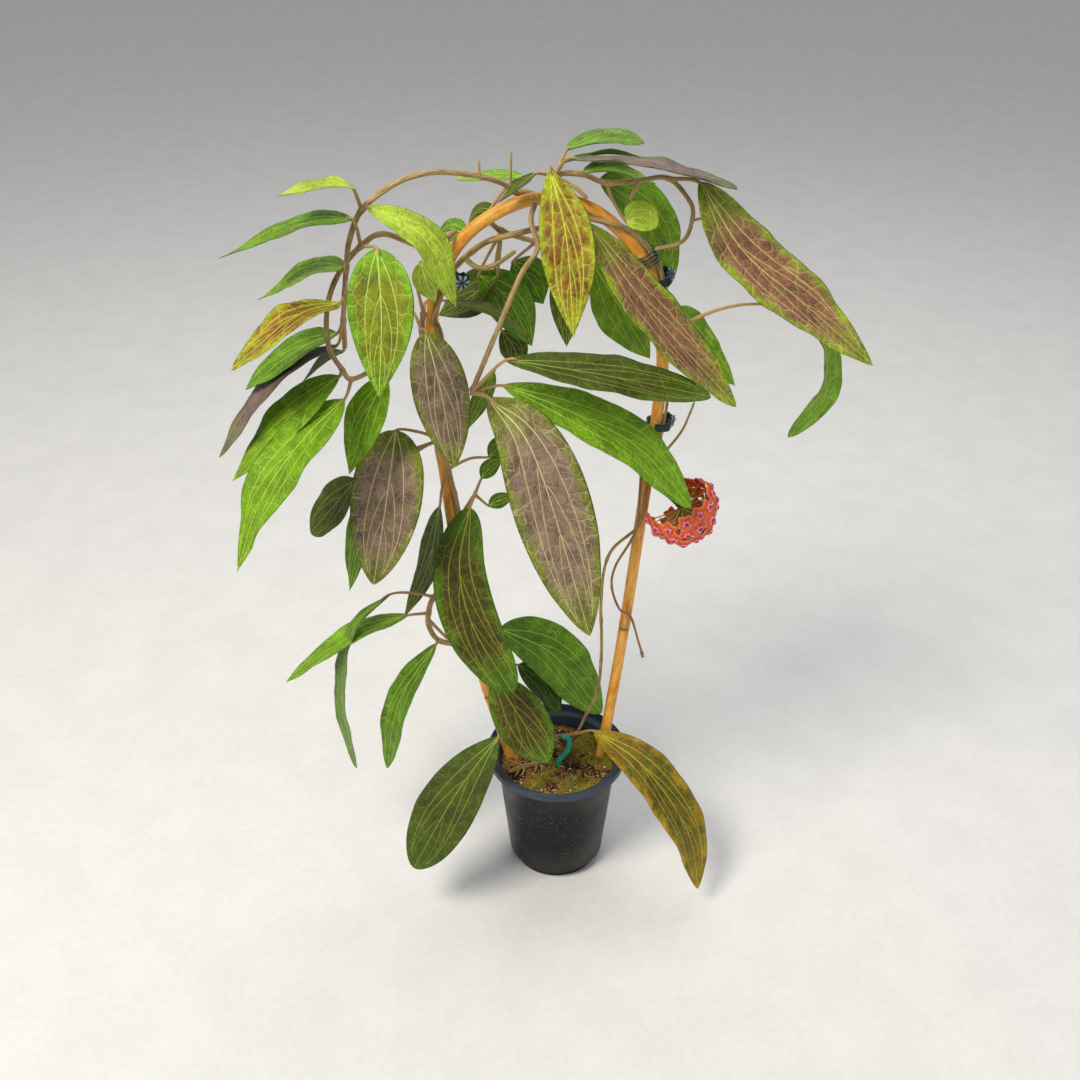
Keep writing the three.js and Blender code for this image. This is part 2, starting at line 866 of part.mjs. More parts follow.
const vineRoute = [
  [-24, 16, 96],
  [-26, 17, 122],
  [-42, 20, 160],
  ...wound(
    [
      [-70, 210, 180],
      [-84, 290, 150],
      [-97, 400, 190],
      [-103, 470, 150],
      [-108, 548, 200],
      [-105, 600, 350],
      [-90, 646, 300],
    ],
    2.8,
  ),
  [-61, 9, 660],
  [-38, 9, 667],
  [-16, 10, 672],
];
const oldVine = joined([
  stem(vineRoute, [3.2, 2.4], 6, 44),
  stem([[-78, 8, 648], [-66, 4, 641], [-52, 2, 645], [-36, 2, 656]], [2.4, 1.8], 5, 4),
]);
node("climbing_vine", oldVine, BARK);

const thinRoute = [
  [8, 16, 96],
  [9, 15, 120],
  [19, 12, 142],
  [30, 8, 177],
  [40, 3, 209],
  [42, -2, 265],
  [40, -4, 317],
  [42, -4, 357],
  [50, -3, 380],
  ...wound([[73, 400, -20], [76, 430, 0], [79, 462, 20], [83, 500, 60], [85, 535, 80]], 1.5),
];
const thinVine = joined([
  stem(thinRoute, [1.6, 1.4], 5, 32),
  stem([besideCane(79, 462, 20, 1.5), [104, 4, 492], [111, 4, 510], [115, 6, 522]], [1.3, 1], 4, 5),
]);
node("thin_vine", thinVine, BARK);

const tendrilRoute = [
  ...wound([[82, 482, -70], [80, 458, -70]], 1.3),
  [71, -6, 440],
  [69, -6, 400],
  [52, -11, 366],
  [49, -10, 342],
  [57, -7, 315],
  besideCane(66, 300, 30, 1.3),
  [77, -4, 274],
  [81, -4, 260],
];
const tendril = joined([
  stem(tendrilRoute, [1.3, 1.1], 5, 20),
  stem([[80.5, -4, 262], [82, -4, 255]], [1.8, 1.4], 5, 1),
]);
node("tendril", tendril, BARK);

// The umbel

// A five-pointed floret facing +Z, its crown the raised middle.
function floret(radius) {
  const ring = (height, share) =>
    Array.from({ length: 10 }, (_, i) => {
      const reach = (i % 2 === 0 ? radius : radius * 0.7) * share;
      const angle = (Math.PI * i) / 5;
      return new THREE.Vector3(reach * Math.cos(angle), reach * Math.sin(angle), height);
    });
  const [under, over] = [new THREE.Vector3(0, 0, -1), new THREE.Vector3(0, 0, 3)];
  const points = [...ring(-0.4, 0.97), ...ring(1.1, 1), under, over];
  const faces = [];
  for (let i = 0; i < 10; i += 1) {
    const next = (i + 1) % 10;
    faces.push(i, next, 10 + next, i, 10 + next, 10 + i);
    faces.push(20, next, i, 21, 10 + i, 10 + next);
  }
  return indexed(points, faces);
}

function placed(geometry, at, direction) {
  const turn = new THREE.Quaternion().setFromUnitVectors(UP, direction);
  geometry.applyQuaternion(turn);
  geometry.translate(at.x, at.y, at.z);
  return solidOf(geometry);
}

// The dome of florets hangs from its heart, tilted to the right, and is bare at the back on its left.
function umbel() {
  const heart = new THREE.Vector3(108, -10, 426);
  const axis = new THREE.Vector3(0.42, 0.1, -0.9).normalize();
  const tilt = new THREE.Quaternion().setFromUnitVectors(new THREE.Vector3(0, 1, 0), axis);
  const bare = new THREE.Vector3(-0.7, 0.7, 0.1).normalize();
  const pieces = [
    stem([besideCane(79, 449, 62, 0.8), [94, -2, 438], heart.toArray()], [1.6, 1.8], 5, 4),
    placed(new THREE.OctahedronGeometry(3, 0), heart, axis),
  ];
  const tiers = [
    [1, 0],
    [6, 33],
    [9, 63],
    [9, 90],
  ];
  tiers.forEach(([count, polar], tier) => {
    for (let i = 0; i < count; i += 1) {
      const around = (2 * Math.PI * (i + 0.5 * (tier % 2))) / count;
      const lean = THREE.MathUtils.degToRad(polar);
      const out = new THREE.Vector3().setFromSphericalCoords(1, lean, around).applyQuaternion(tilt);
      if (out.dot(bare) > 0.72) continue;
      const seat = heart.clone().addScaledVector(out, UMBEL_RADIUS);
      pieces.push(placed(floret(FLORET_DIAMETER / 2), seat, out));
      const foot = heart.clone().addScaledVector(out, 1.5).toArray();
      pieces.push(stem([foot, seat.clone().addScaledVector(out, 0.4).toArray()], [0.7, 0.7], 3, 1));
    }
  });
  return joined(pieces);
}
node("flower_umbel", umbel(), ORANGE, 0.5);

// Clips, tie and root

// Wire wound round the cane and the stem beside it.
function wireCoil() {
  const turns = 4;
  const cane = caneAt(caneShare(65, 645));
  const middle = cane.centre.clone().addScaledVector(cane.outward, 2.4);
  const points = [];
  for (let i = 0; i <= turns * 10; i += 1) {
    const angle = (2 * Math.PI * i) / 10;
    const point = middle
      .clone()
      .addScaledVector(cane.along, 12 * (i / (turns * 10) - 0.5))
      .addScaledVector(cane.outward, 9.6 * Math.cos(angle));
    point.y += 6.9 * Math.sin(angle);
    points.push(point.toArray());
  }
  return tube(curveThrough(points), [0.7, 0.7], 4, turns * 10);
}
node("wire_coil", wireCoil(), CLIP, 0.4);

// A sprung open ring with teeth, round the cane and a stem on its held side, and two fluted finger pads.
function clawClip(x, z, held, stemRadius, pads) {
  const cane = caneAt(caneShare(x, z));
  const toPads = aside(cane, pads);
  const across = cane.along.clone().cross(toPads);
  const middle = cane.centre.clone().addScaledVector(aside(cane, held), stemRadius + 0.3);
  const inner = caneRadius + stemRadius + 1.2;
  const outer = inner + 1.6;
  const length = 7;
  const ring = new THREE.Shape();
  const open = THREE.MathUtils.degToRad(26);
  for (let i = 0; i <= 14; i += 1) {
    const angle = THREE.MathUtils.lerp(open, 2 * Math.PI - open, i / 14);
    const reach = i % 2 === 0 ? outer : outer + 2.2;
    ring[i === 0 ? "moveTo" : "lineTo"](reach * Math.cos(angle), reach * Math.sin(angle));
  }
  for (let i = 10; i >= 0; i -= 1) {
    const angle = THREE.MathUtils.lerp(open, 2 * Math.PI - open, i / 10);
    ring.lineTo(inner * Math.cos(angle), inner * Math.sin(angle));
  }
  const band = new THREE.ExtrudeGeometry(ring, { depth: length, bevelEnabled: false });
  band.translate(0, 0, -length / 2);
  const away = toPads.clone().negate();
  const back = across.clone().negate();
  band.applyMatrix4(new THREE.Matrix4().makeBasis(away, back, cane.along));
  band.translate(middle.x, middle.y, middle.z);
  const pieces = [solidOf(band)];
  [-1, 1].forEach((way) => {
    const face = toPads.clone().multiplyScalar(0.25).addScaledVector(across, way).normalize();
    const seat = middle.clone().addScaledVector(toPads, outer + 4.4).addScaledVector(across, way * 3.4);
    pieces.push(placed(fluted(6.6, 1.8, 7), seat.clone().addScaledVector(face, -0.9), face));
    const neck = middle.clone().addScaledVector(toPads, outer - 0.8).addScaledVector(across, way * 1.2);
    pieces.push(stem([neck.toArray(), seat.toArray()], [1.6, 1.3], 4, 1));
  });
  return joined(pieces);
}

function fluted(radius, depth, flutes) {
  const shape = new THREE.Shape();
  for (let i = 0; i < 2 * flutes; i += 1) {
    const reach = i % 2 === 0 ? radius : radius * 0.8;
    const angle = (Math.PI * i) / flutes;
    shape[i === 0 ? "moveTo" : "lineTo"](reach * Math.cos(angle), reach * Math.sin(angle));
  }
  return new THREE.ExtrudeGeometry(shape, { depth, bevelEnabled: false });
}

node("claw_clip_shoulder", clawClip(76, 626, 90, 2.2, 135), CLIP, 0.4);
node("claw_clip_leg", clawClip(83.5, 499, 60, 1.5, 130), CLIP, 0.4);
node("claw_clip_left", clawClip(-96, 636, -50, 2.6, -90), CLIP, 0.4);

// A plastic strip bent over the stems' foot.
function plantTie() {
  const route = curveThrough([
    [0, -8, SOIL_TOP + 1.1],
    [4, -5, SOIL_TOP + 9],
    [12, 1, SOIL_TOP + 17],
    [12, 5, SOIL_TOP + 26],
    [5, 4, SOIL_TOP + 31],
  ]);
  const cuts = [];
  for (let i = 0; i <= 8; i += 1) {
    const centre = route.getPointAt(i / 8);
    const along = route.getTangentAt(i / 8);
    const side = along.clone().cross(FRONT).normalize();
    const normal = side.clone().cross(along);
    const half = i % 8 === 0 ? 1.6 : 2.6;
    const corner = (v, up) =>
      centre.clone().addScaledVector(side, half * v).addScaledVector(normal, 0.55 * up);
    cuts.push([corner(-1, 1), corner(1, 1), corner(1, -1), corner(-1, -1)]);
  }
  return ringed(cuts);
}
node("plant_tie", plantTie(), TEAL, 0.35);

// A thick root and its rootlets, lying on the soil.
function surfaceRoot() {
  const height = SOIL_TOP + CLEAR;
  const pieces = [
    stem(
      [
        [-12, -4, height + 3],
        [-26, -9, height + 3.4],
        [-38, -13, height + 3.2],
        [-49, -19, height + 2.2],
      ],
      [3, 2.1],
      6,
      5,
    ),
  ];
  const rootlets = [
    [-17, -6, -16, -17],
    [-21, -8, -24, -18],
    [-33, -12, -37, -23],
    [-39, -14, -43, -23],
    [-23, -8, -27, 2],
    [-34, -12, -40, -3],
  ];
  rootlets.forEach(([x, y, toX, toY]) => {
    pieces.push(stem([[x, y, height + 2.6], [toX, toY, height + 1]], [1.2, 0.8], 4, 1));
  });
  return joined(pieces);
}
node("surface_root", surfaceRoot(), ROOT);

// The hoop, the soil round all that stands in it, and the pot
node("cane_hoop", caneHoop(), CANE, 0.5);
node(
  "soil",
  soil([
    hole(caneCurve, caneRadius),
    hole(caneCurve, caneRadius, true),
    hole(curveThrough(vineRoute), 3.4),
    hole(curveThrough(thinRoute), 2),
    hole(curveThrough(knuckleRoute), 3),
  ]),
  PEAT,
  0.95,
);
node("pot", pot(), POT_BLACK, 0.5);

export default group;
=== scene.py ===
"""The looks of a potted hoya: long hairy leaves on vines, trained on a bent cane hoop in a nursery pot.

Shapes are worked out in millimetres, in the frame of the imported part, and written to Blender in metres.
The origin is the centre of the pot's underside, +Z is up and -Y faces the viewer.
"""

from __future__ import annotations

import functools
import logging
import math
from collections.abc import Iterable, Sequence
from dataclasses import dataclass
from enum import Enum

import bpy
import numpy as np
from bpy.types import ID, Material, Node, NodeSocket, NodeTree, Object
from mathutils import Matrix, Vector
from numpy import ndarray as Array

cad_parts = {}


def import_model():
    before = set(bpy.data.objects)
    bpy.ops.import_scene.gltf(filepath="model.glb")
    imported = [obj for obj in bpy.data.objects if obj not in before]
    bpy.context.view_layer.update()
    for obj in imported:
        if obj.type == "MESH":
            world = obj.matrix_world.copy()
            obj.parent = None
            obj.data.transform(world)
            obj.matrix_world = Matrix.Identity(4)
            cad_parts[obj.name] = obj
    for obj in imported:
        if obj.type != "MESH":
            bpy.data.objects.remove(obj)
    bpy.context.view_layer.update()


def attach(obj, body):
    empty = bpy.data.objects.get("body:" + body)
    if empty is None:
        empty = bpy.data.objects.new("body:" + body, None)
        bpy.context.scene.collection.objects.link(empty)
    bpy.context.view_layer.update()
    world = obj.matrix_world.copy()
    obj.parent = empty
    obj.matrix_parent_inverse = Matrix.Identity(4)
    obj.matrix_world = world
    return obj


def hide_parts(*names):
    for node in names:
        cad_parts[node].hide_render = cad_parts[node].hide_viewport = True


log = logging.getLogger("potted_hoya")

MM = 0.001
# Settings that many nodes share: a smooth step, a mix of two colours, and a product
SMOOTH = {"interpolation_type": "SMOOTHSTEP"}
MIX = {"data_type": "RGBA", "out": 2}
TIMES = {"operation": "MULTIPLY"}
BODY = "root"
CLEAR = 0.35
FAR = 60.0
SOIL_TOP = 119.0
FRONT = np.array((0.0, -0.848, 0.53))
# A spike with three sides: its foot's angles, and its faces, whose last point is the tip
SPIKE = np.array((0, 2.1, 4.2))
SPIKE_FACES = ((2, 1, 0), (0, 1, 3), (1, 2, 3), (2, 0, 3))

Point = Sequence[float]
Path = Sequence[Point]
Faces = list[tuple[int, ...]]


# Small helpers


def linear(colour: str) -> tuple[float, float, float, float]:
    """Turns an sRGB hex colour into the linear values that a shader takes.

    Args:
        colour: The colour, such as "#7fa82a".

    Returns:
        Red, green, blue and a full alpha.
    """
    shares = (int(colour[i : i + 2], 16) / 255 for i in (1, 3, 5))
    red, green, blue = (c / 12.92 if c <= 0.04045 else ((c + 0.055) / 1.055) ** 2.4 for c in shares)
    return red, green, blue, 1.0


def unit(vectors: Array) -> Array:
    """Returns the vectors at length one."""
    return vectors / np.maximum(np.linalg.norm(vectors, axis=-1, keepdims=True), 1e-12)


def bell(distance: Array, width: float) -> Array:
    """Returns a smooth bump of height one over a distance of about the width."""
    return np.exp(-((distance / width) ** 2))


def ease(value: Array | float, low: float, high: float) -> Array:
    """Returns a smooth step from 0 at the low value to 1 at the high one."""
    share = np.clip((value - low) / (high - low), 0, 1)
    return share * share * (3 - 2 * share)


def full_turn(count: int) -> Array:
    """Returns angles evenly spaced round a full turn."""
    return np.linspace(0, math.tau, count, endpoint=False)


def ring(reach: Array | float, angles: Array, level: Array | float) -> Array:
    """Returns points round the Z axis by their distances, angles and heights."""
    return np.stack(np.broadcast_arrays(reach * np.cos(angles), reach * np.sin(angles), level), axis=1)


def run_along(line: Array) -> Array:
    """Returns how far along a line each of its points lies."""
    return np.concatenate(([0.0], np.cumsum(np.linalg.norm(np.diff(line, axis=0), axis=1))))


def picked(place: Array, run: Array, values: Array) -> Array:
    """Returns a line's points, or other vectors at them, at places along its run."""
    return np.stack([np.interp(place, run, values[:, k]) for k in range(3)], axis=1)


class Spline:
    """A smooth curve through points, which can be measured along its length."""

    def __init__(self, points: Path) -> None:
        """Keeps the points and measures the curve.

        Args:
            points: What the curve passes through, in millimetres.
        """
        self.points = np.asarray([tuple(p) for p in points], float)
        self.shares = np.linspace(0, 1, 201)
        self.lengths = run_along(self.at_share(self.shares))
        self.length = float(self.lengths[-1])

    def at_share(self, share: float | Array) -> Array:
        """Returns the points at shares of the curve's spans."""
        knots, last = self.points, len(self.points) - 1
        place = np.clip(np.asarray(share, float), 0, 1) * last
        span = np.minimum(place.astype(int), last - 1)
        w = (place - span)[..., None]
        more = np.vstack((2 * knots[0] - knots[1], knots, 2 * knots[-1] - knots[-2]))
        before, start, end, after = (more[span + k] for k in range(4))
        leave, arrive = (end - before) / 2, (after - start) / 2
        square = 3 * (end - start) - 2 * leave - arrive
        return start + leave * w + square * w**2 + (2 * (start - end) + leave + arrive) * w**3

    def direction(self, share: float | Array) -> Array:
        """Returns the curve's directions at shares of its spans."""
        share = np.asarray(share, float)
        ahead = self.at_share(np.minimum(share + 1e-4, 1))
        return unit(ahead - self.at_share(np.maximum(share - 1e-4, 0)))

    def share_at(self, u: float | Array) -> Array:
        """Returns the shares of the spans at shares u of the length."""
        return np.interp(np.asarray(u, float) * self.length, self.lengths, self.shares)

    def at(self, u: float | Array) -> Array:
        """Returns the points at shares u of the length."""
        return self.at_share(self.share_at(u))

    def along(self, u: float | Array) -> Array:
        """Returns the directions at shares u of the length."""
        return self.direction(self.share_at(u))


class Tree:
    """A node tree that is being built, for a material or for geometry."""

    family = ""

    def __init__(self, tree: NodeTree) -> None:
        """Keeps the tree that nodes go into."""
        self.tree = tree

    def add(
        self, kind: str, sockets: dict[int | str, object] | None = None, out: int | str | None = 0, **settings: object
    ) -> NodeSocket | Node:
        """Adds a node with its settings, values and links.

        Args:
            kind: Blender's name for the kind of node, without the tree's own family.
            sockets: Each input by its number or name, with a value, a hex colour or another node's output.
            out: The output to return, by number or name, or None for the whole node.
            **settings: The node's own settings.

        Returns:
            The output asked for, or the node.
        """
        node = self.tree.nodes.new(kind if "Node" in kind else self.family + kind)
        for name, value in settings.items():
            setattr(node, name, value)
        for key, value in (sockets or {}).items():
            socket = node.inputs[key] if isinstance(key, int) else self.named(node.inputs, key)
            if isinstance(value, str) and value.startswith("#"):
                value = linear(value)
            if isinstance(value, NodeSocket):
                self.tree.links.new(value, socket)
            else:
                socket.default_value = value
        if out is None:
            return node
        return node.outputs[out] if isinstance(out, int) else self.named(node.outputs, out)

    @staticmethod
    def named(sockets: Iterable[NodeSocket], name: str) -> NodeSocket:
        """Returns the first live socket of that name."""
        return next(s for s in sockets if s.name == name and s.enabled)


class Shader(Tree):
    """A new material whose surface is one Principled shader."""

    family = "ShaderNode"

    def __init__(self, name: str, **constants: float) -> None:
        """Makes the material.

        Args:
            name: The finish's plain name.
            **constants: Values that are the same all over, by the socket's name with _ for a space.
        """
        self.material = bpy.data.materials.new(name)
        self.material.use_nodes = True
        super().__init__(self.material.node_tree)
        self.surface = self.tree.nodes["Principled BSDF"]
        for key, value in constants.items():
            self.surface.inputs[key.replace("_", " ")].default_value = value

    def close(self, **sockets: NodeSocket) -> Material:
        """Links the last outputs into the surface and returns the material."""
        for key, value in sockets.items():
            self.tree.links.new(value, self.surface.inputs[key.replace("_", " ")])
        return self.material


class Growth(Tree):
    """A new geometry tree with named inputs."""

    family = "GeometryNode"

    def __init__(self, name: str, **inputs: str) -> None:
        """Makes the tree and its interface.

        Args:
            name: What the tree makes.
            **inputs: Each input's socket type, by its name.
        """
        super().__init__(bpy.data.node_groups.new(name, "GeometryNodeTree"))
        face = self.tree.interface
        face.new_socket("Geometry", in_out="INPUT", socket_type="NodeSocketGeometry")
        for key, kind in inputs.items():
            face.new_socket(key, in_out="INPUT", socket_type="NodeSocket" + kind)
        face.new_socket("Geometry", in_out="OUTPUT", socket_type="NodeSocketGeometry")
        self.given = self.tree.nodes.new("NodeGroupInput").outputs

    def close(self, geometry: NodeSocket) -> NodeTree:
        """Realises what was made, shades it, gives it its finish and returns the tree."""
        real = self.add("RealizeInstances", {"Geometry": geometry})
        shaded = self.add("SetShadeSmooth", {"Geometry": real, "Shade Smooth": self.given["Smooth"]})
        done = self.add("SetMaterial", {"Geometry": shaded, "Material": self.given["Material"]})
        self.add("NodeGroupOutput", {"Geometry": done}, out=None)
        return self.tree


def grow(source: Object, tree: NodeTree, name: str, **values: object) -> Object:
    """Runs a geometry tree on an object and keeps the result as a plain mesh.

    Args:
        source: What the tree starts from. It is removed.
        tree: The tree.
        name: The new piece's name.
        **values: The tree's inputs, by name.

    Returns:
        The new piece.
    """
    modifier = source.modifiers.new("growth", "NODES")
    modifier.node_group = tree
    sockets = {item.name: item.identifier for item in tree.interface.items_tree if item.in_out == "INPUT"}
    for key, value in values.items():
        modifier[sockets[key]] = value
    made = settled(source, name)
    bpy.data.objects.remove(source)
    return made


def settled(source: Object, name: str) -> Object:
    """Returns a new object with the plain mesh that an object's modifiers give, and clears them."""
    bpy.context.view_layer.update()
    graph = bpy.context.evaluated_depsgraph_get()
    mesh = bpy.data.meshes.new_from_object(source.evaluated_get(graph), preserve_all_data_layers=True, depsgraph=graph)
    source.modifiers.clear()
    return linked(name, mesh)


def linked(name: str, data: ID) -> Object:
    """Returns a new object of that data, in the scene."""
    made = bpy.data.objects.new(name, data)
    bpy.context.scene.collection.objects.link(made)
    return made


def settle_in(piece: Object, slot: str, *nodes: str) -> None:
    """Tells the frame what a finished piece belongs to, and logs it.

    Args:
        piece: The finished piece.
        slot: The record's material slot; it is not used.
        *nodes: The nodes of the part that it stands for.
    """
    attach(piece, BODY)
    if nodes:
        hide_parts(*nodes)
    log.info("%s: %d faces", piece.name, len(piece.data.polygons))


class MeshDraft:
    """The points, faces and values of a piece while it is built, in millimetres."""

    def __init__(self) -> None:
        """Starts with nothing."""
        self.points: list[Array] = []
        self.faces: Faces = []
        self.finishes: list[int] = []
        self.uvs: list[tuple[float, float]] = []
        self.values: dict[str, list[Array]] = {}
        self.count = 0

    def add(
        self,
        points: Array,
        faces: Iterable[Sequence[int]],
        finish: int = 0,
        uvs: Iterable[tuple[float, float]] = (),
        **values: Array | float,
    ) -> MeshDraft:
        """Adds a body.

        Args:
            points: Its points.
            faces: Its faces, by the numbers of its own points.
            finish: The material of its faces, by number.
            uvs: A place on the map for each corner of each face, or nothing.
            **values: A value or vector at each point, or one for all of them, by name.

        Returns:
            This draft.
        """
        made = [tuple(int(i) + self.count for i in face) for face in faces]
        self.points.append(np.asarray(points, float))
        self.faces += made
        self.finishes += [finish] * len(made)
        self.uvs += list(uvs)
        for name, value in values.items():
            each = np.full(len(points), float(value)) if np.ndim(value) == 0 else np.asarray(value, float)
            self.values.setdefault(name, []).append(each)
        self.count += len(points)
        return self

    def piece(self, name: str, materials: Sequence[Material] = (), edges: Iterable[tuple[int, int]] = ()) -> Object:
        """Makes the object.

        Args:
            name: Its name.
            materials: Its materials, in the order of the finish numbers.
            edges: Loose edges between its points.

        Returns:
            The new object, in the scene.
        """
        mesh = bpy.data.meshes.new(name)
        mesh.from_pydata((np.vstack(self.points) * MM).tolist(), list(edges), self.faces)
        for material in materials:
            mesh.materials.append(material)
        if self.faces:
            mesh.polygons.foreach_set("material_index", self.finishes)
            mesh.polygons.foreach_set("use_smooth", [True] * len(self.faces))
        for key, parts in self.values.items():
            value = np.concatenate(parts).astype(np.float32)
            kind, slot = ("FLOAT", "value") if value.ndim == 1 else ("FLOAT_VECTOR", "vector")
            mesh.attributes.new(key, kind, "POINT").data.foreach_set(slot, value.ravel())
        if self.uvs:
            layer = mesh.uv_layers.new(name="OFBake")
            layer.uv.foreach_set("vector", np.asarray(self.uvs, np.float32).ravel())
        mesh.update()
        return linked(name, mesh)


def ring_faces(rings: int, sides: int, capped: bool = True) -> Faces:
    """Returns the faces of a body made of closed rings, with its ends closed.

    Args:
        rings: How many rings there are.
        sides: How many points each ring has, turning from the body's right to its normal.
        capped: Whether each end gets a face.

    Returns:
        The faces, which point outwards.
    """
    faces: Faces = []
    for r in range(rings - 1):
        low, high = r * sides, (r + 1) * sides
        faces += [(low + s, low + (s + 1) % sides, high + (s + 1) % sides, high + s) for s in range(sides)]
    if capped:
        faces.append(tuple(reversed(range(sides))))
        faces.append(tuple((rings - 1) * sides + s for s in range(sides)))
    return faces


def shell(rings: Array, first: Point, last: Point) -> tuple[Array, Faces]:
    """Closes a body made of rings round the Z axis, from the middle of its top out, down and back in.

    Args:
        rings: The points, by ring and by turn, anticlockwise seen from above.
        first: The middle of the first ring.
        last: The middle of the last ring.

    Returns:
        The points and the faces, which point outwards.
    """
    count, sides = rings.shape[:2]
    points = np.vstack((rings.reshape(-1, 3), [first], [last]))
    faces: Faces = []
    for s in range(sides):
        t = (s + 1) % sides
        faces += [(r * sides + s, (r + 1) * sides + s, (r + 1) * sides + t, r * sides + t) for r in range(count - 1)]
        faces.append((count * sides, s, t))
        faces.append(((count - 1) * sides + s, count * sides + 1, (count - 1) * sides + t))
    return points, faces


def plate(reach: Array, top: Array, thick: float, shares: Array) -> tuple[Array, Faces, Array]:
    """Makes a thin round body of any outline that faces +Z.

    Args:
        reach: The outline's distance from the middle at each turn.
        top: The height of the upper side, by share of the reach and by turn.
        thick: Its thickness at the middle.
        shares: The shares of the reach at which its rings stand.

    Returns:
        The points, the faces, and each point's share of the reach.
    """
    flat = ring(reach, full_turn(len(reach)), 0)[:, :2]
    upper = np.dstack((shares[:, None, None] * flat[None], top[..., None]))
    lower = upper.copy()
    lower[..., 2] -= thick * np.clip(1.15 - shares[:, None] ** 2, 0.15, 1)
    middle = float(top[0].mean())
    points, faces = shell(np.concatenate((upper, lower[::-1])), (0, 0, middle), (0, 0, middle - thick))
    share = np.repeat(np.concatenate((shares, shares[::-1])), len(reach))
    return points, faces, np.concatenate((share, (0, 0)))


def tube(line: Array, radius: Array, sides: int = 10) -> tuple[Array, Faces]:
    """Makes a short round body along a line.

    Args:
        line: Its middle line.
        radius: Its radius at each point.
        sides: How many sides it has.

    Returns:
        The points and the faces, which point outwards.
    """
    along = unit(np.gradient(line, axis=0))
    normal = np.zeros_like(line)
    last = unit(np.cross(along[0], (0.3, 0.2, 0.9)))
    for i, way in enumerate(along):
        last = unit(last - way * float(last @ way))
        normal[i] = last
    side = np.cross(along, normal)
    angle = full_turn(sides)
    around = side[:, None] * np.sin(angle)[None, :, None] + normal[:, None] * np.cos(angle)[None, :, None]
    points = line[:, None] + around * radius[:, None, None]
    return points.reshape(-1, 3), ring_faces(len(line), sides)


@functools.cache
def stem_tree() -> NodeTree:
    """Makes the tree that turns lines into round stems.

    Returns:
        A tree whose inputs are Sides, Smooth and Material. The lines carry their radius in thickness.
    """
    growth = Growth("stems along their lines", Sides="Int", Smooth="Bool", Material="Material")
    add, given = growth.add, growth.given
    line = add("MeshToCurve", {"Mesh": given["Geometry"]})
    circle = add("CurvePrimitiveCircle", {"Resolution": given["Sides"], "Radius": 1.0}, mode="RADIUS")
    turn = add("InputPosition")
    marked = add("StoreNamedAttribute", {"Geometry": circle, "Name": "turn", "Value": turn},
                 data_type="FLOAT_VECTOR", domain="POINT")
    thickness = add("InputNamedAttribute", {"Name": "thickness"}, data_type="FLOAT")
    skin = add("CurveToMesh", {"Curve": line, "Profile Curve": marked, "Scale": thickness, "Fill Caps": True})
    return growth.close(skin)


@functools.cache
def copies_tree() -> NodeTree:
    """Makes the tree that sets a copy of one body on each point, standing along the point's lean.

    Returns:
        A tree whose inputs are Copy, Seed, Smooth and Material. The points carry lean and size.
    """
    growth = Growth("copies on their points", Copy="Object", Seed="Int", Smooth="Bool", Material="Material")
    add, given = growth.add, growth.given
    copy = add("ObjectInfo", {"Object": given["Copy"], "As Instance": True}, out="Geometry")
    lean = add("InputNamedAttribute", {"Name": "lean"}, data_type="FLOAT_VECTOR")
    size = add("InputNamedAttribute", {"Name": "size"}, data_type="FLOAT_VECTOR")
    upright = add("FunctionNodeAlignRotationToVector", {"Vector": lean}, axis="Z")
    spin = add("FunctionNodeRandomValue", {"Min": 0.0, "Max": 6.2, "Seed": given["Seed"]}, data_type="FLOAT")
    turn = add("FunctionNodeAxisAngleToRotation", {"Axis": (0.0, 0.0, 1.0), "Angle": spin})
    rotation = add("FunctionNodeRotateRotation", {"Rotation": upright, "Rotate By": turn}, rotation_space="LOCAL")
    points = add("MeshToPoints", {"Mesh": given["Geometry"]})
    copies = add("InstanceOnPoints", {"Points": points, "Instance": copy, "Rotation": rotation, "Scale": size})
    return growth.close(copies)


def strewn(body: MeshDraft, roots: MeshDraft, name: str, finish: Finish, smooth: bool = True) -> Object:
    """Sets a copy of one body on each root point.

    Args:
        body: The body, which stands on +Z.
        roots: The points, with their lean and size.
        name: The piece's name.
        finish: Its finish.
        smooth: Whether it is shaded smooth.

    Returns:
        The piece.
    """
    copy = body.piece(name + "_copy")
    made = grow(roots.piece(name + "_roots"), copies_tree(), name, Copy=copy, Seed=7, Smooth=smooth,
                Material=finish.material())
    bpy.data.objects.remove(copy)
    return made


# Finishes


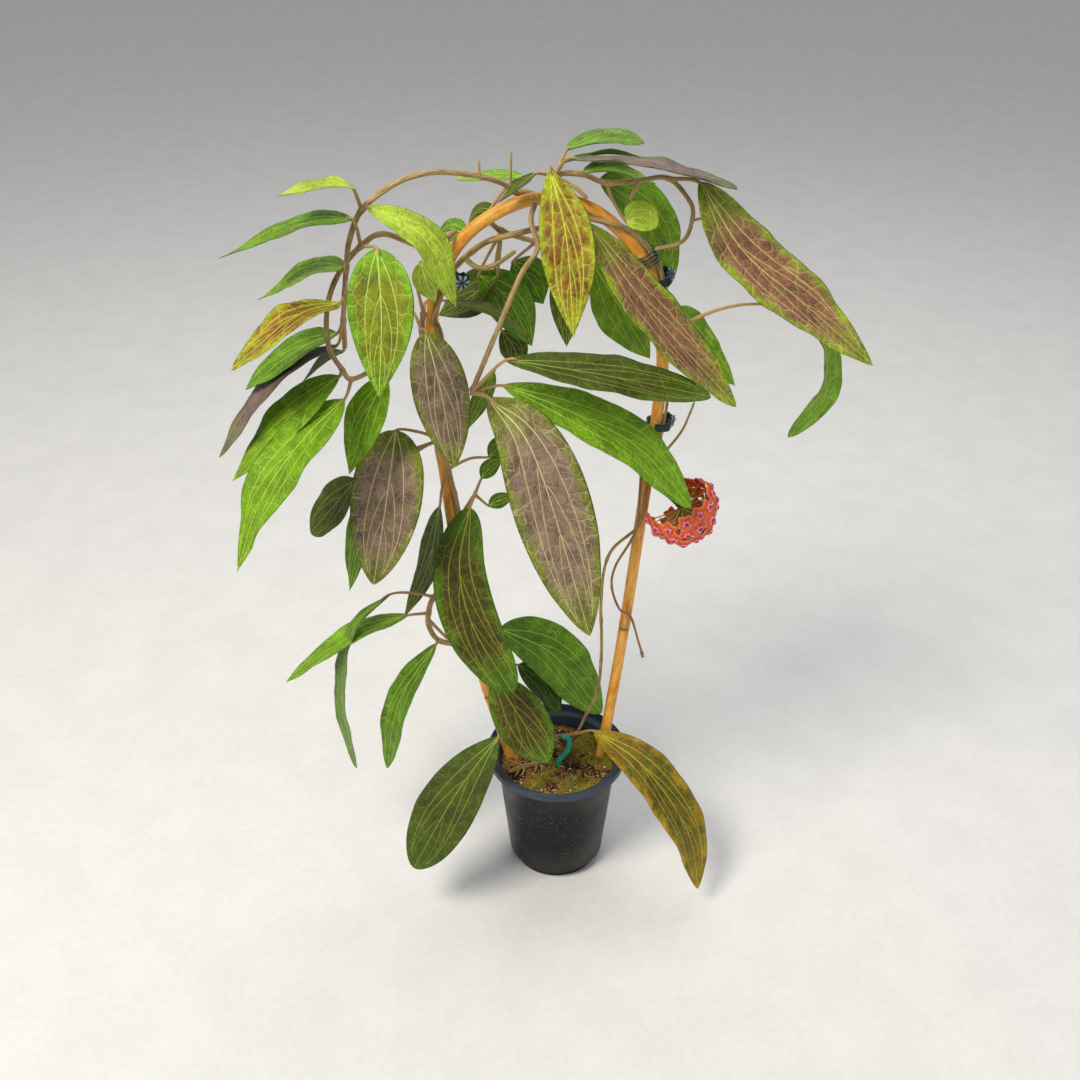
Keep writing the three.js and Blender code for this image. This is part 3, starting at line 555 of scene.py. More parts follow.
@dataclass(frozen=True)
class Finish:
    """A material of two tones in an uneven grain, with what lies in it and on it.

    The grain is in millimetres. Where it is drawn, it lies along the skin of a stem. A third colour shows
    where a value of the mesh, the mark, is high, and dust lies in specks.
    """

    name: str
    dark: str
    light: str
    third: str = ""
    mark: str = ""
    grain: float = 1.5
    drawn: bool = False
    streak: float = 0.5
    dust: float = 0.0
    speck: str = "#b4b2a8"
    roughness: float = 0.6
    shine: float = 0.4
    bump: float = 0.3
    sheen: float = 0.0
    coat: float = 0.0

    @functools.cache
    def material(self) -> Material:
        """Returns the material, whose pattern lies in the piece's own space or along its stems."""
        shader = Shader(self.name, Specular_IOR_Level=self.shine, Sheen_Weight=self.sheen, Coat_Weight=self.coat,
                        Coat_Roughness=0.25)
        add = shader.add
        fine_scale, broad_scale = 1000 / self.grain, 120 / self.grain
        place = add("TexCoord", out="Object")
        if self.drawn:
            turn = add("Attribute", out="Vector", attribute_name="turn")
            run = add("Attribute", out="Fac", attribute_name="run")
            along = add("CombineXYZ", {2: run})
            place = add("VectorMath", {0: along, 1: (0.0, 0.0, 0.045), 2: turn}, operation="MULTIPLY_ADD")
            fine_scale, broad_scale = 4.8 / self.grain, 1.7 / self.grain
        fine = add("TexNoise", {"Vector": place, "Scale": fine_scale, "Detail": 4.0, "Roughness": 0.6}, out="Fac")
        broad = add("TexNoise", {"Vector": place, "Scale": broad_scale, "Detail": 3.0}, out="Fac")
        both = add("Math", {0: fine, 1: broad}, operation="ADD")
        tone = add("MapRange", {0: both, 1: 1 - self.streak / 2, 2: 1 + self.streak / 2}, **SMOOTH)
        colour = add("Mix", {0: tone, 6: self.dark, 7: self.light}, **MIX)
        if self.mark:
            share = add("Attribute", out="Fac", attribute_name=self.mark)
            uneven = add("MapRange", {0: fine, 1: 0.3, 2: 0.7, 3: 0.7, 4: 1.25})
            marked = add("Math", {0: share, 1: uneven}, operation="MULTIPLY", use_clamp=True)
            colour = add("Mix", {0: marked, 6: colour, 7: self.third}, **MIX)
        if self.dust:
            solid = add("TexCoord", out="Object")
            cells = add("TexVoronoi", {"Vector": solid, "Scale": 420.0}, out="Distance")
            dots = add("MapRange", {0: cells, 1: 0.2, 2: 0.1})
            drift = add("TexNoise", {"Vector": solid, "Scale": 45.0, "Detail": 3.0}, out="Fac")
            where = add("MapRange", {0: drift, 1: 0.44, 2: 0.62, 4: self.dust})
            dusty = add("Math", {0: dots, 1: where}, **TIMES)
            colour = add("Mix", {0: dusty, 6: colour, 7: self.speck}, **MIX)
        rough = add("MapRange", {0: broad, 3: self.roughness - 0.12, 4: self.roughness + 0.12})
        bump = add("Bump", {"Strength": self.bump, "Distance": 0.0005, "Height": fine})
        return shader.close(Base_Color=colour, Roughness=rough, Normal=bump)


# Young hoya stems: pinkish tan under a dense down, so they look soft and slightly dusty
SHOOT_SKIN = Finish("downy shoot skin", "#846a3e", "#c8aa74", "#b8945c", "youth", drawn=True, streak=0.5,
                    roughness=0.75, sheen=0.15)
# An old climbing stem turns to thin bark: grey tan, cracked lengthways, dull
VINE_BARK = Finish("weathered vine bark", "#6e5a30", "#c2a468", "#98943c", "youth", drawn=True, streak=0.42,
                   roughness=0.85, bump=0.5)
# A dead tendril dries out to straw brown
TENDRIL_SKIN = Finish("dry tendril skin", "#755536", "#b58f60", "#7f7a40", "youth", drawn=True, roughness=0.8)
# Bamboo, bent over heat and oiled: amber, satin, with calm streaks along its fibres and dark joints
CANE_SKIN = Finish("heat-bent bamboo cane", "#d07c08", "#fac058", "#6e4020", "youth", drawn=True, grain=2.4,
                   streak=0.7, dust=0.7, speck="#7a4a22", roughness=0.42, bump=0.12)
# A root that has crept out of the peat: cork skin, tan, its rootlets paler
ROOT_SKIN = Finish("corky root skin", "#80602f", "#bf9a60", "#d8bb86", "youth", drawn=True, roughness=0.85)
# The peduncle is old and woody and the pedicels are waxy yellow-green, going red towards the flower
PEDICEL = Finish("flower stalk", "#8a8a34", "#bdb552", "#5a3a26", "youth", drawn=True, roughness=0.5)
# Hairs are thin and hollow, so they only catch light
STEM_HAIR = Finish("soft stem hairs", "#b49b84", "#c9b098", roughness=0.6, bump=0.0)
LEAF_HAIR = Finish("fine pale hairs", "#d6c8b0", "#e6dcc8", roughness=0.6, bump=0.0)
# Injection-moulded polypropylene: even, satin, with dried splashes of soil and lime on it; the blue-grey third colour
# on the rim is a painted highlight
POT_PLASTIC = Finish("moulded charcoal polypropylene", "#040506", "#0a0b0d", "#3e4956", "rim", grain=2.2, dust=0.9,
                     speck="#9a9e96", roughness=0.38, shine=0.22, bump=0.06)
# Peat is rotted moss: matt, nearly black where it is damp and brown where it has dried
PEAT = Finish("damp fibrous peat", "#38240a", "#9a7634", grain=2.0, streak=0.35, dust=0.3, roughness=0.95)
CRUMBS = Finish("crumbs of peat", "#1c1006", "#b48c44", grain=2.0, streak=0.22, roughness=0.95)
# Perlite is puffed glass: white and chalky
PERLITE = Finish("puffed perlite", "#cfc8b6", "#f2eee2", grain=1.2, roughness=0.9)
BARK_BITS = Finish("red-brown bark bits", "#5c2410", "#b0562a", grain=2.5, roughness=0.85)
STRAW = Finish("dry husk flakes", "#c9b48a", "#efe4c8", grain=2.0, roughness=0.8)
# Cushion moss is many tiny leaves, olive where it is dry
MOSS = Finish("dull green moss", "#7c7e0c", "#ccc43c", grain=3.0, roughness=0.9, sheen=0.2)
# Moulded clip plastic: smooth and glossy enough to mirror a lamp; the pad's flute crests are painted pale blue-grey
DARK_PLASTIC = Finish("black-teal moulded plastic", "#07151a", "#103039", grain=3.0, dust=0.35, roughness=0.3,
                      bump=0.04)
FLUTED_PAD = Finish("fluted pad plastic", "#0b1f2b", "#15323f", "#b5c8d2", "ridge", roughness=0.35, bump=0.05)
WIRE_COAT = Finish("dark coated wire", "#0e2228", "#1f434b", grain=2.0, roughness=0.35, bump=0.05)
TEAL_STRIP = Finish("glossy teal strip", "#0f8f79", "#2fc4a2", grain=5.0, roughness=0.25, bump=0.03)
# Petals are felted, and their pale edge colour is a painted highlight of the felt; the crown is wax, so it shines
PETAL = Finish("felted orange petal", "#d83a06", "#f2661a", "#ffb088", "edge", grain=0.8, roughness=0.55, sheen=0.1)
CORONA = Finish("waxy crimson crown", "#9c0838", "#bc1648", "#ff94b8", "edge", grain=0.8, roughness=0.22,
                bump=0.08, coat=0.4)


@dataclass(frozen=True)
class LeafFinish:
    """A hoya leaf: wax over soft tissue, a net of sunken pale nerves, and a middle that flushes with light.

    The heart is how much of the centre's colour shows, the net how strong the small veins are, the halo how
    green the tissue beside a vein stays, and the mottle how strong the patches are.
    """

    margin: str
    centre: str
    nerve: str
    under: str
    heart: float = 1.0
    net: float = 0.3
    halo: float = 0.35
    mottle: float = 0.0
    patch: str = "#5b3a2c"
    specks: float = 0.0

    def material(self, name: str) -> Material:
        """Makes the material, which reads where a point is on its leaf from the blade's values.

        Args:
            name: The look's name.

        Returns:
            The material.
        """
        shader = Shader(f"hoya leaf, {name.lower()}", Specular_IOR_Level=0.27)
        add = shader.add
        at = add("Attribute", out="Vector", attribute_name="leaf_at")
        mm = add("Attribute", out="Vector", attribute_name="leaf_mm")
        below = add("Attribute", out="Fac", attribute_name="below")
        u, v, rib = add("SeparateXYZ", {0: at}, out=None).outputs
        side = add("Math", {0: v}, operation="ABSOLUTE")
        # The nerves, by the distance from each in half its own width
        gaps = []
        for name_of in ("nerves_left", "nerves_right"):
            signed = add("Attribute", out="Vector", attribute_name=name_of)
            gaps.append(add("VectorMath", {0: signed}, operation="ABSOLUTE"))
        least = add("VectorMath", {0: gaps[0], 1: gaps[1]}, operation="MINIMUM")
        nearest = add("Math", {0: rib}, operation="ABSOLUTE")
        for part in add("SeparateXYZ", {0: least}, out=None).outputs:
            nearest = add("Math", {0: nearest, 1: part}, operation="MINIMUM")
        nerves = add("MapRange", {0: nearest, 1: 1.4, 2: 0.5, 4: 0.82}, **SMOOTH)
        # The net between them: cells of about 12 by 10 mm, with a finer net inside
        warp = add("TexNoise", {"Vector": mm, "Scale": 0.2, "Detail": 2.0}, out="Color")
        moved = add("VectorMath", {0: warp, 1: (3.4, 3.4, 0.0), 2: mm}, operation="MULTIPLY_ADD")
        outer = add("MapRange", {0: side, 1: 0.3, 2: 0.66, 3: self.net * 0.45, 4: self.net})
        nets, cells = [], []
        for scale, thick in (((0.085, 0.1, 0.9), 0.032), ((0.3, 0.33, 1.7), 0.09)):
            spread = add("VectorMath", {0: moved, 1: scale}, **TIMES)
            cell = add("TexVoronoi", {"Vector": spread, "Scale": 1.0, "Randomness": 0.9},
                       out="Distance", feature="DISTANCE_TO_EDGE")
            cells.append(cell)
            nets.append(add("MapRange", {0: cell, 1: thick, 2: 0.01}, **SMOOTH))
        faint = add("Math", {0: nets[1], 1: 0.3}, **TIMES)
        both = add("Math", {0: nets[0], 1: faint}, operation="MAXIMUM")
        net = add("Math", {0: both, 1: outer}, **TIMES)
        veins = add("Math", {0: nerves, 1: net}, operation="MAXIMUM")
        # The flushed middle, with a cloudy edge inside a green rim
        cloud = add("TexNoise", {"Vector": mm, "Scale": 0.06, "Detail": 4.0, "Roughness": 0.6}, out="Fac")
        sway = add("Math", {0: cloud, 1: 0.5}, operation="SUBTRACT")
        reach = add("Math", {0: sway, 1: 0.7, 2: side}, operation="MULTIPLY_ADD")
        inner = add("MapRange", {0: reach, 1: 1.0, 2: 0.62, 4: self.heart}, **SMOOTH)
        ends = add("MapRange", {0: u, 1: 0.02, 2: 0.28}, **SMOOTH)
        tip = add("MapRange", {0: u, 1: 1.0, 2: 0.68}, **SMOOTH)
        # The flush is in the cells' middles, and the tissue beside a vein stays green
        beside = add("MapRange", {0: nearest, 1: 1.0, 2: 8.0, 3: 1 - self.halo})
        within = add("MapRange", {0: cells[0], 1: 0.02, 2: 0.2, 3: 1 - self.halo})
        share = inner
        for part in (ends, tip, beside, within):
            share = add("Math", {0: share, 1: part}, **TIMES)
        tissue = add("Mix", {0: share, 6: self.margin, 7: self.centre}, **MIX)
        # Patches of a deeper flush, which keep off the nerves
        spots = add("TexNoise", {"Vector": mm, "Scale": 0.1, "Detail": 5.0, "Roughness": 0.62}, out="Fac")
        patches = add("MapRange", {0: spots, 1: 0.48, 2: 0.62, 4: self.mottle}, **SMOOTH)
        away = add("MapRange", {0: nearest, 1: 1.5, 2: 7.0}, **SMOOTH)
        stain = add("Math", {0: patches, 1: away}, **TIMES)
        tissue = add("Mix", {0: stain, 6: tissue, 7: self.patch}, **MIX)
        # Broad light and dark tissue, and the velvet of its cells
        grain = add("TexNoise", {"Vector": mm, "Scale": 1.1, "Detail": 3.0}, out="Fac")
        lift = add("MapRange", {0: cloud, 1: 0.3, 2: 0.7, 3: 0.55, 4: 1.36})
        velvet = add("MapRange", {0: grain, 1: 0.3, 2: 0.7, 3: 0.8, 4: 1.2})
        dapple = add("TexNoise", {"Vector": mm, "Scale": 0.45, "Detail": 4.0}, out="Fac")
        dappled = add("MapRange", {0: dapple, 1: 0.3, 2: 0.7, 3: 0.84, 4: 1.16})
        value = add("Math", {0: lift, 1: velvet}, **TIMES)
        value = add("Math", {0: value, 1: dappled}, **TIMES)
        tissue = add("HueSaturation", {"Color": tissue, "Value": value})
        drawn = add("Mix", {0: veins, 6: tissue, 7: self.nerve}, **MIX)
        # A thin maroon edge that comes and goes
        patchy = add("MapRange", {0: cloud, 1: 0.42, 2: 0.56, 4: 0.6})
        rim = add("MapRange", {0: side, 1: 0.965, 2: 0.99}, **SMOOTH)
        edge = add("Math", {0: rim, 1: patchy}, **TIMES)
        drawn = add("Mix", {0: edge, 6: drawn, 7: "#5c2f26"}, **MIX)
        if self.specks:
            dots = add("TexVoronoi", {"Vector": mm, "Scale": 0.42}, out="Distance")
            white = add("MapRange", {0: dots, 1: 0.16, 2: 0.1, 4: self.specks})
            some = add("MapRange", {0: spots, 1: 0.5, 2: 0.44})
            lime = add("Math", {0: white, 1: some}, **TIMES)
            drawn = add("Mix", {0: lime, 6: drawn, 7: "#f4f0e4"}, **MIX)
        # The underside is duller, and its net hardly shows
        dull = add("Mix", {0: 0.7, 6: drawn, 7: self.under}, **MIX)
        colour = add("Mix", {0: below, 6: drawn, 7: dull}, **MIX)
        rough = add("MapRange", {0: grain, 1: 0.3, 2: 0.7, 3: 0.34, 4: 0.5})
        pillow = add("MapRange", {0: cells[0], 1: 0.0, 2: 0.2, 4: 0.7}, **SMOOTH)
        rough_skin = add("Math", {0: dapple, 1: grain}, operation="ADD")
        height = add("Math", {0: pillow, 1: rough_skin}, operation="ADD")
        bump = add("Bump", {"Strength": 0.8, "Distance": 0.0009, "Height": height})
        return shader.close(Base_Color=colour, Roughness=rough, Normal=bump)


class Look(Enum):
    """The looks that leaves of one plant have, by age and by how much sun they had."""

    SPRING = LeafFinish("#a6ca2a", "#aab628", "#e2ea84", "#84a02c", heart=0.45, net=0.3)
    FRESH = LeafFinish("#6aa206", "#7ca006", "#d2e45e", "#6f8f2a", heart=0.5, net=0.4)
    GREEN = LeafFinish("#568a06", "#5e8006", "#c2d860", "#55752a", heart=0.5, net=0.3)
    HEART = LeafFinish("#70aa06", "#7c7e06", "#d8e878", "#7f9248", net=0.35, halo=0.2)
    # The bronze centre's mauve-grey is partly the tissue's own brown-mauve and partly a painted lavender reflection of
    # the sky
    BRONZE = LeafFinish("#74840a", "#957868", "#eee4ac", "#6a6c38", net=0.35, halo=0.12, mottle=0.45,
                        patch="#604426", specks=0.5)
    BROWNED = LeafFinish("#467604", "#4e3e06", "#b4b23c", "#55641c", net=0.3, halo=0.2, mottle=0.3, patch="#38280a")
    MOTTLED = LeafFinish("#a0b412", "#965a24", "#ecea66", "#848a34", net=0.35, halo=0.4, mottle=0.7, patch="#742c18")
    BLUSH = LeafFinish("#84a20a", "#925c4c", "#f0dc88", "#8a7c40", net=0.4, halo=0.15, mottle=0.35, patch="#6e3834")
    PURPLE = LeafFinish("#6a7238", "#7e6266", "#b0a278", "#5a6048", net=0.3, halo=0.2, mottle=0.3, patch="#4a363c")
    OLIVE = LeafFinish("#44640a", "#4a4a0c", "#aeb24a", "#4a5618", heart=0.8, net=0.2, mottle=0.2, patch="#403010")
    DARK = LeafFinish("#365a08", "#3e4a0a", "#90a844", "#3f5a1c", heart=0.6, net=0.2)
    SCORCHED = LeafFinish("#a48806", "#54560a", "#d6cc4c", "#75702a", net=0.2, halo=0.15, mottle=0.5,
                          patch="#98600e", specks=0.4)

    @functools.cache
    def material(self) -> Material:
        """Returns this look's material."""
        return self.value.material(self.name)


# The cane hoop, and what lies along it

CANE_ROUTE: Path = ((-33, 16), (-47, 114), (-61, 172), (-74, 227), (-89, 324), (-99, 422), (-108, 540), (-104, 608),
    (-88, 650), (-61, 678), (-21, 695), (19, 689), (52, 664), (76, 625), (86, 560), (84, 507), (77, 431), (62, 264),
    (45, 114), (32, 16))


@dataclass
class CaneHoop:
    """The bent bamboo cane that the plant is trained on, with both legs in the soil.

    Husks are named by the x and z that a patch of them is nearest to, their number and the patch's spread.
    """

    diameter: float = 10.4
    depth: float = 10.0
    knots: tuple[float, ...] = (0.13, 0.245, 0.765, 0.888)
    knot_ridge: float = 0.4
    route: Path = CANE_ROUTE
    husks: tuple[tuple[float, float, int, float], ...] = ((37, 683, 9, 0.012), (-20, 693, 5, 0.01), (88, 560, 3, 0.004))

    def __post_init__(self) -> None:
        """Lays the curve."""
        self.curve = Spline([(x, self.depth, z) for x, z in self.route])
        self.samples = self.curve.at_share(np.linspace(0, 1, 1001))

    def nearest(self, x: float, z: float) -> float:
        """Returns how far along the cane, from 0 to 1, its centre is nearest to (x, z)."""
        return float(np.argmin(np.hypot(self.samples[:, 0] - x, self.samples[:, 2] - z))) / 1000

    def aside(self, share: float, bearing: float) -> Array:
        """Returns a direction square to the cane: 0 is its front, 90 away from the hoop's middle."""
        outward = np.cross(self.curve.direction(share), (0, 1, 0))
        turn = math.radians(bearing)
        return np.array((0, -math.cos(turn), 0)) + outward * math.sin(turn)

    def resting(self, share: float, bearing: float, radius: float) -> tuple[float, ...]:
        """Returns the middle of a stem of this radius that rests against the cane."""
        reach = self.diameter / 2 + radius + CLEAR + 0.2
        return tuple(self.curve.at_share(share) + self.aside(share, bearing) * reach)

    def beside(self, x: float, z: float, bearing: float, radius: float) -> tuple[float, ...]:
        """Returns the middle of a stem that rests against the cane nearest to (x, z)."""
        return self.resting(self.nearest(x, z), bearing, radius)

    def wound(self, stops: Path, radius: float) -> list[tuple[float, ...]]:
        """Leads a stem along the cane.

        Args:
            stops: Each stop's x, z and bearing.
            radius: The stem's radius.

        Returns:
            The points of the stem's middle.
        """
        points: list[tuple[float, ...]] = []
        for i, ((x0, z0, b0), (x1, z1, b1)) in enumerate(zip(stops, stops[1:])):
            start, end = self.nearest(x0, z0), self.nearest(x1, z1)
            length = float(np.linalg.norm(self.curve.at_share(start) - self.curve.at_share(end)))
            parts = max(1, math.ceil(length / 34), math.ceil(abs(b1 - b0) / 26))
            for k in range(0 if i == 0 else 1, parts + 1):
                share = start + (end - start) * k / parts
                points.append(self.resting(share, b0 + (b1 - b0) * k / parts, radius))
        return points

    def build(self) -> None:
        """Makes the cane, with a ridge and a groove at each knot, and husk on it."""
        steps = int(self.curve.length / 1.6)
        shares = np.linspace(0, 1, steps + 1)
        run = self.curve.length * shares
        radius = np.full(steps + 1, self.diameter / 2)
        dark = np.zeros(steps + 1)
        for knot in self.knots:
            place = float(np.interp(knot, self.curve.shares, self.curve.lengths))
            radius += self.knot_ridge * bell(run - place, 1.6) - 0.3 * bell(run - place - 3.6, 1.0)
            dark += 0.9 * bell(run - place - 3.4, 1.2) + 0.3 * bell(run - place, 6)
        stems = StemDraft()
        stems.add(self.curve.at(shares), radius, np.clip(dark, 0, 1))
        settle_in(stems.piece("bent_cane", CANE_SKIN, sides=28), "cane", "cane_hoop")
        random = stems.random
        roots = MeshDraft()
        for x, z, count, spread in self.husks:
            for _ in range(count):
                share = self.nearest(x, z) + random.normal(0, spread)
                way = self.aside(share, random.uniform(-40, 75))
                place = self.curve.at_share(share) + way * (self.diameter / 2 + 0.05)
                wide = random.uniform(0.8, 2.2)
                roots.add(place[None], (), lean=way[None], size=[(wide, wide * 0.6, 0.5)])
        settle_in(strewn(crumb(3), roots, "cane_husks", STRAW), "cane")


def crumb(seed: int) -> MeshDraft:
    """Makes a rough lump about a millimetre across, to be scattered.

    Args:
        seed: What fixes its shape.

    Returns:
        The lump.
    """
    random = np.random.default_rng(seed)
    turns = full_turn(6)
    rings = []
    for level, reach in ((0.32, 0.3), (0.05, 0.5), (-0.28, 0.34)):
        wide = reach * random.uniform(0.75, 1.25, 6)
        rings.append(ring(wide, turns, level + random.uniform(-0.08, 0.08, 6)))
    return MeshDraft().add(*shell(np.array(rings), (0, 0, 0.45), (0, 0, -0.45)))


class StemDraft:
    """Stems, stalks and their hairs while a piece is built."""

    def __init__(self, seed: int = 1) -> None:
        """Starts with no stems."""
        self.random = np.random.default_rng(seed)
        self.lines = MeshDraft()
        self.edges: list[tuple[int, int]] = []
        self.hairs = MeshDraft()

    def add(self, points: Array, radius: Array, youth: Array | float = 0.0) -> None:
        """Adds one stem.

        Args:
            points: Its middle line.
            radius: Its radius at each point.
            youth: How young its skin is at each point, from 0 to 1.
        """
        first, count = self.lines.count, len(points)
        run = run_along(points) + first * 3.7
        self.edges += [(first + i, first + i + 1) for i in range(count - 1)]
        self.lines.add(points, (), thickness=radius * MM, run=run, youth=np.broadcast_to(youth, count))

    def lead(
        self, route: Path, radii: tuple[float, float], youth: float = 0.0, nodes: Sequence[float] = (),
        until: float = 1.0, down: float = 0.0, swell: float = 0.16,
    ) -> None:
        """Adds a stem along a smooth route, with swellings, a rounded end and hairs.

        Args:
            route: What it passes through.
            radii: Its radius at the start and at the end.
            youth: How young its skin is.
            nodes: Lengths along it, in millimetres, where leaves leave it.
            until: The share of the route's spans where it ends.
            down: How many hairs there are on a square millimetre.
            swell: How much thicker it is at a node, as a share.
        """
        curve = Spline(route)
        end = float(np.interp(until, curve.shares, curve.lengths))
        count = max(6, int(end / 1.8))
        u = np.linspace(0, 1, count)
        points = curve.at(u * end / curve.length)
        run = u * end
        radius = radii[0] + (radii[1] - radii[0]) * u
        lumps = sum(np.sin(run / reach + self.random.uniform(0, 6.3)) for reach in (2.3, 5.1, 11.0))
        radius = radius * (0.97 + 0.018 * lumps)
        for node in nodes:
            radius = radius * (1 + swell * bell(run - node, 3.0))
        radius *= np.sqrt(np.clip((end - run) / radii[1] + 0.03, 0.03, 1))
        self.add(points, radius, youth)
        if down:
            self.coat(points, radius, down)

    def coat(self, points: Array, radius: Array, down: float, reach: float = 1.3) -> None:
        """Sets hairs round a stem.

        Args:
            points: The stem's middle line.
            radius: Its radius at each point.
            down: How many hairs there are on a square millimetre.
            reach: How long they are, in millimetres.
        """
        run = run_along(points)
        count = int(run[-1] * math.tau * float(radius.mean()) * down)
        place = self.random.uniform(0, run[-1], count)
        centre, ahead = picked(place, run, points), picked(place + 0.5, run, points)
        along = unit(ahead - centre + 1e-6)
        out = self.random.normal(size=(count, 3))
        out = unit(out - along * (out * along).sum(1, keepdims=True))
        root = centre + out * (np.interp(place, run, radius) * 0.93)[:, None]
        lean = unit(out + along * 0.25 + self.random.normal(size=(count, 3)) * 0.22)
        self.root_hairs(root, lean, self.random.uniform(0.4, 1.0, count) * reach)

    def root_hairs(self, root: Array, lean: Array, reach: Array, thick: float = 0.04) -> None:
        """Adds hairs by their roots, directions, lengths and thickness in millimetres."""
        wide = thick * self.random.uniform(0.7, 1.2, len(root))
        self.hairs.add(root, (), lean=lean, size=np.stack((wide, wide, reach), axis=1))

    def piece(self, name: str, finish: Finish, sides: int = 12) -> Object:
        """Makes the stems.

        Args:
            name: The piece's name.
            finish: Its finish.
            sides: How many sides each stem has.

        Returns:
            The piece.
        """
        lines = self.lines.piece(name + "_lines", edges=self.edges)
        return grow(lines, stem_tree(), name, Sides=sides, Smooth=True, Material=finish.material())

    def hair_piece(self, name: str, finish: Finish) -> Object:
        """Makes the hairs, each a thin closed cone with three sides."""
        hair = MeshDraft().add(np.vstack((ring(1, SPIKE, 0), [(0, 0, 1)])), SPIKE_FACES)
        return strewn(hair, self.hairs, name, finish)


# Leaves and shoots


@dataclass(frozen=True)
class Nerve:
    """A side nerve of a blade, by shares of the blade's length and of its half width."""

    start: float
    end: float
    reach: float
    bow: float
    thick: float

    def away(self, u: Array, v: Array, half: Array, late: float, sway: float) -> tuple[Array, Array]:
        """Measures from the nerve.

        Args:
            u: Shares of the blade's length.
            v: Shares of its half width, on the nerve's own side.
            half: The half width, in millimetres.
            late: How much further along this one leaves the midrib.
            sway: How much it wavers.

        Returns:
            How far the points are from the nerve, in millimetres, and half its thickness there.
        """
        start = self.start + late
        share = np.clip((u - start) / (self.end - start), 0, 1)
        out = self.reach * share**self.bow + sway * np.sin(11 * share) * share
        live = (u >= start) & (u <= self.end)
        return np.where(live, (v - out) * half, FAR), self.thick * (1 - 0.55 * share) + 0 * v


NERVES = (Nerve(0.0, 0.92, 0.66, 0.42, 0.36), Nerve(0.33, 0.93, 0.62, 0.66, 0.25), Nerve(0.6, 0.95, 0.5, 0.72, 0.18))


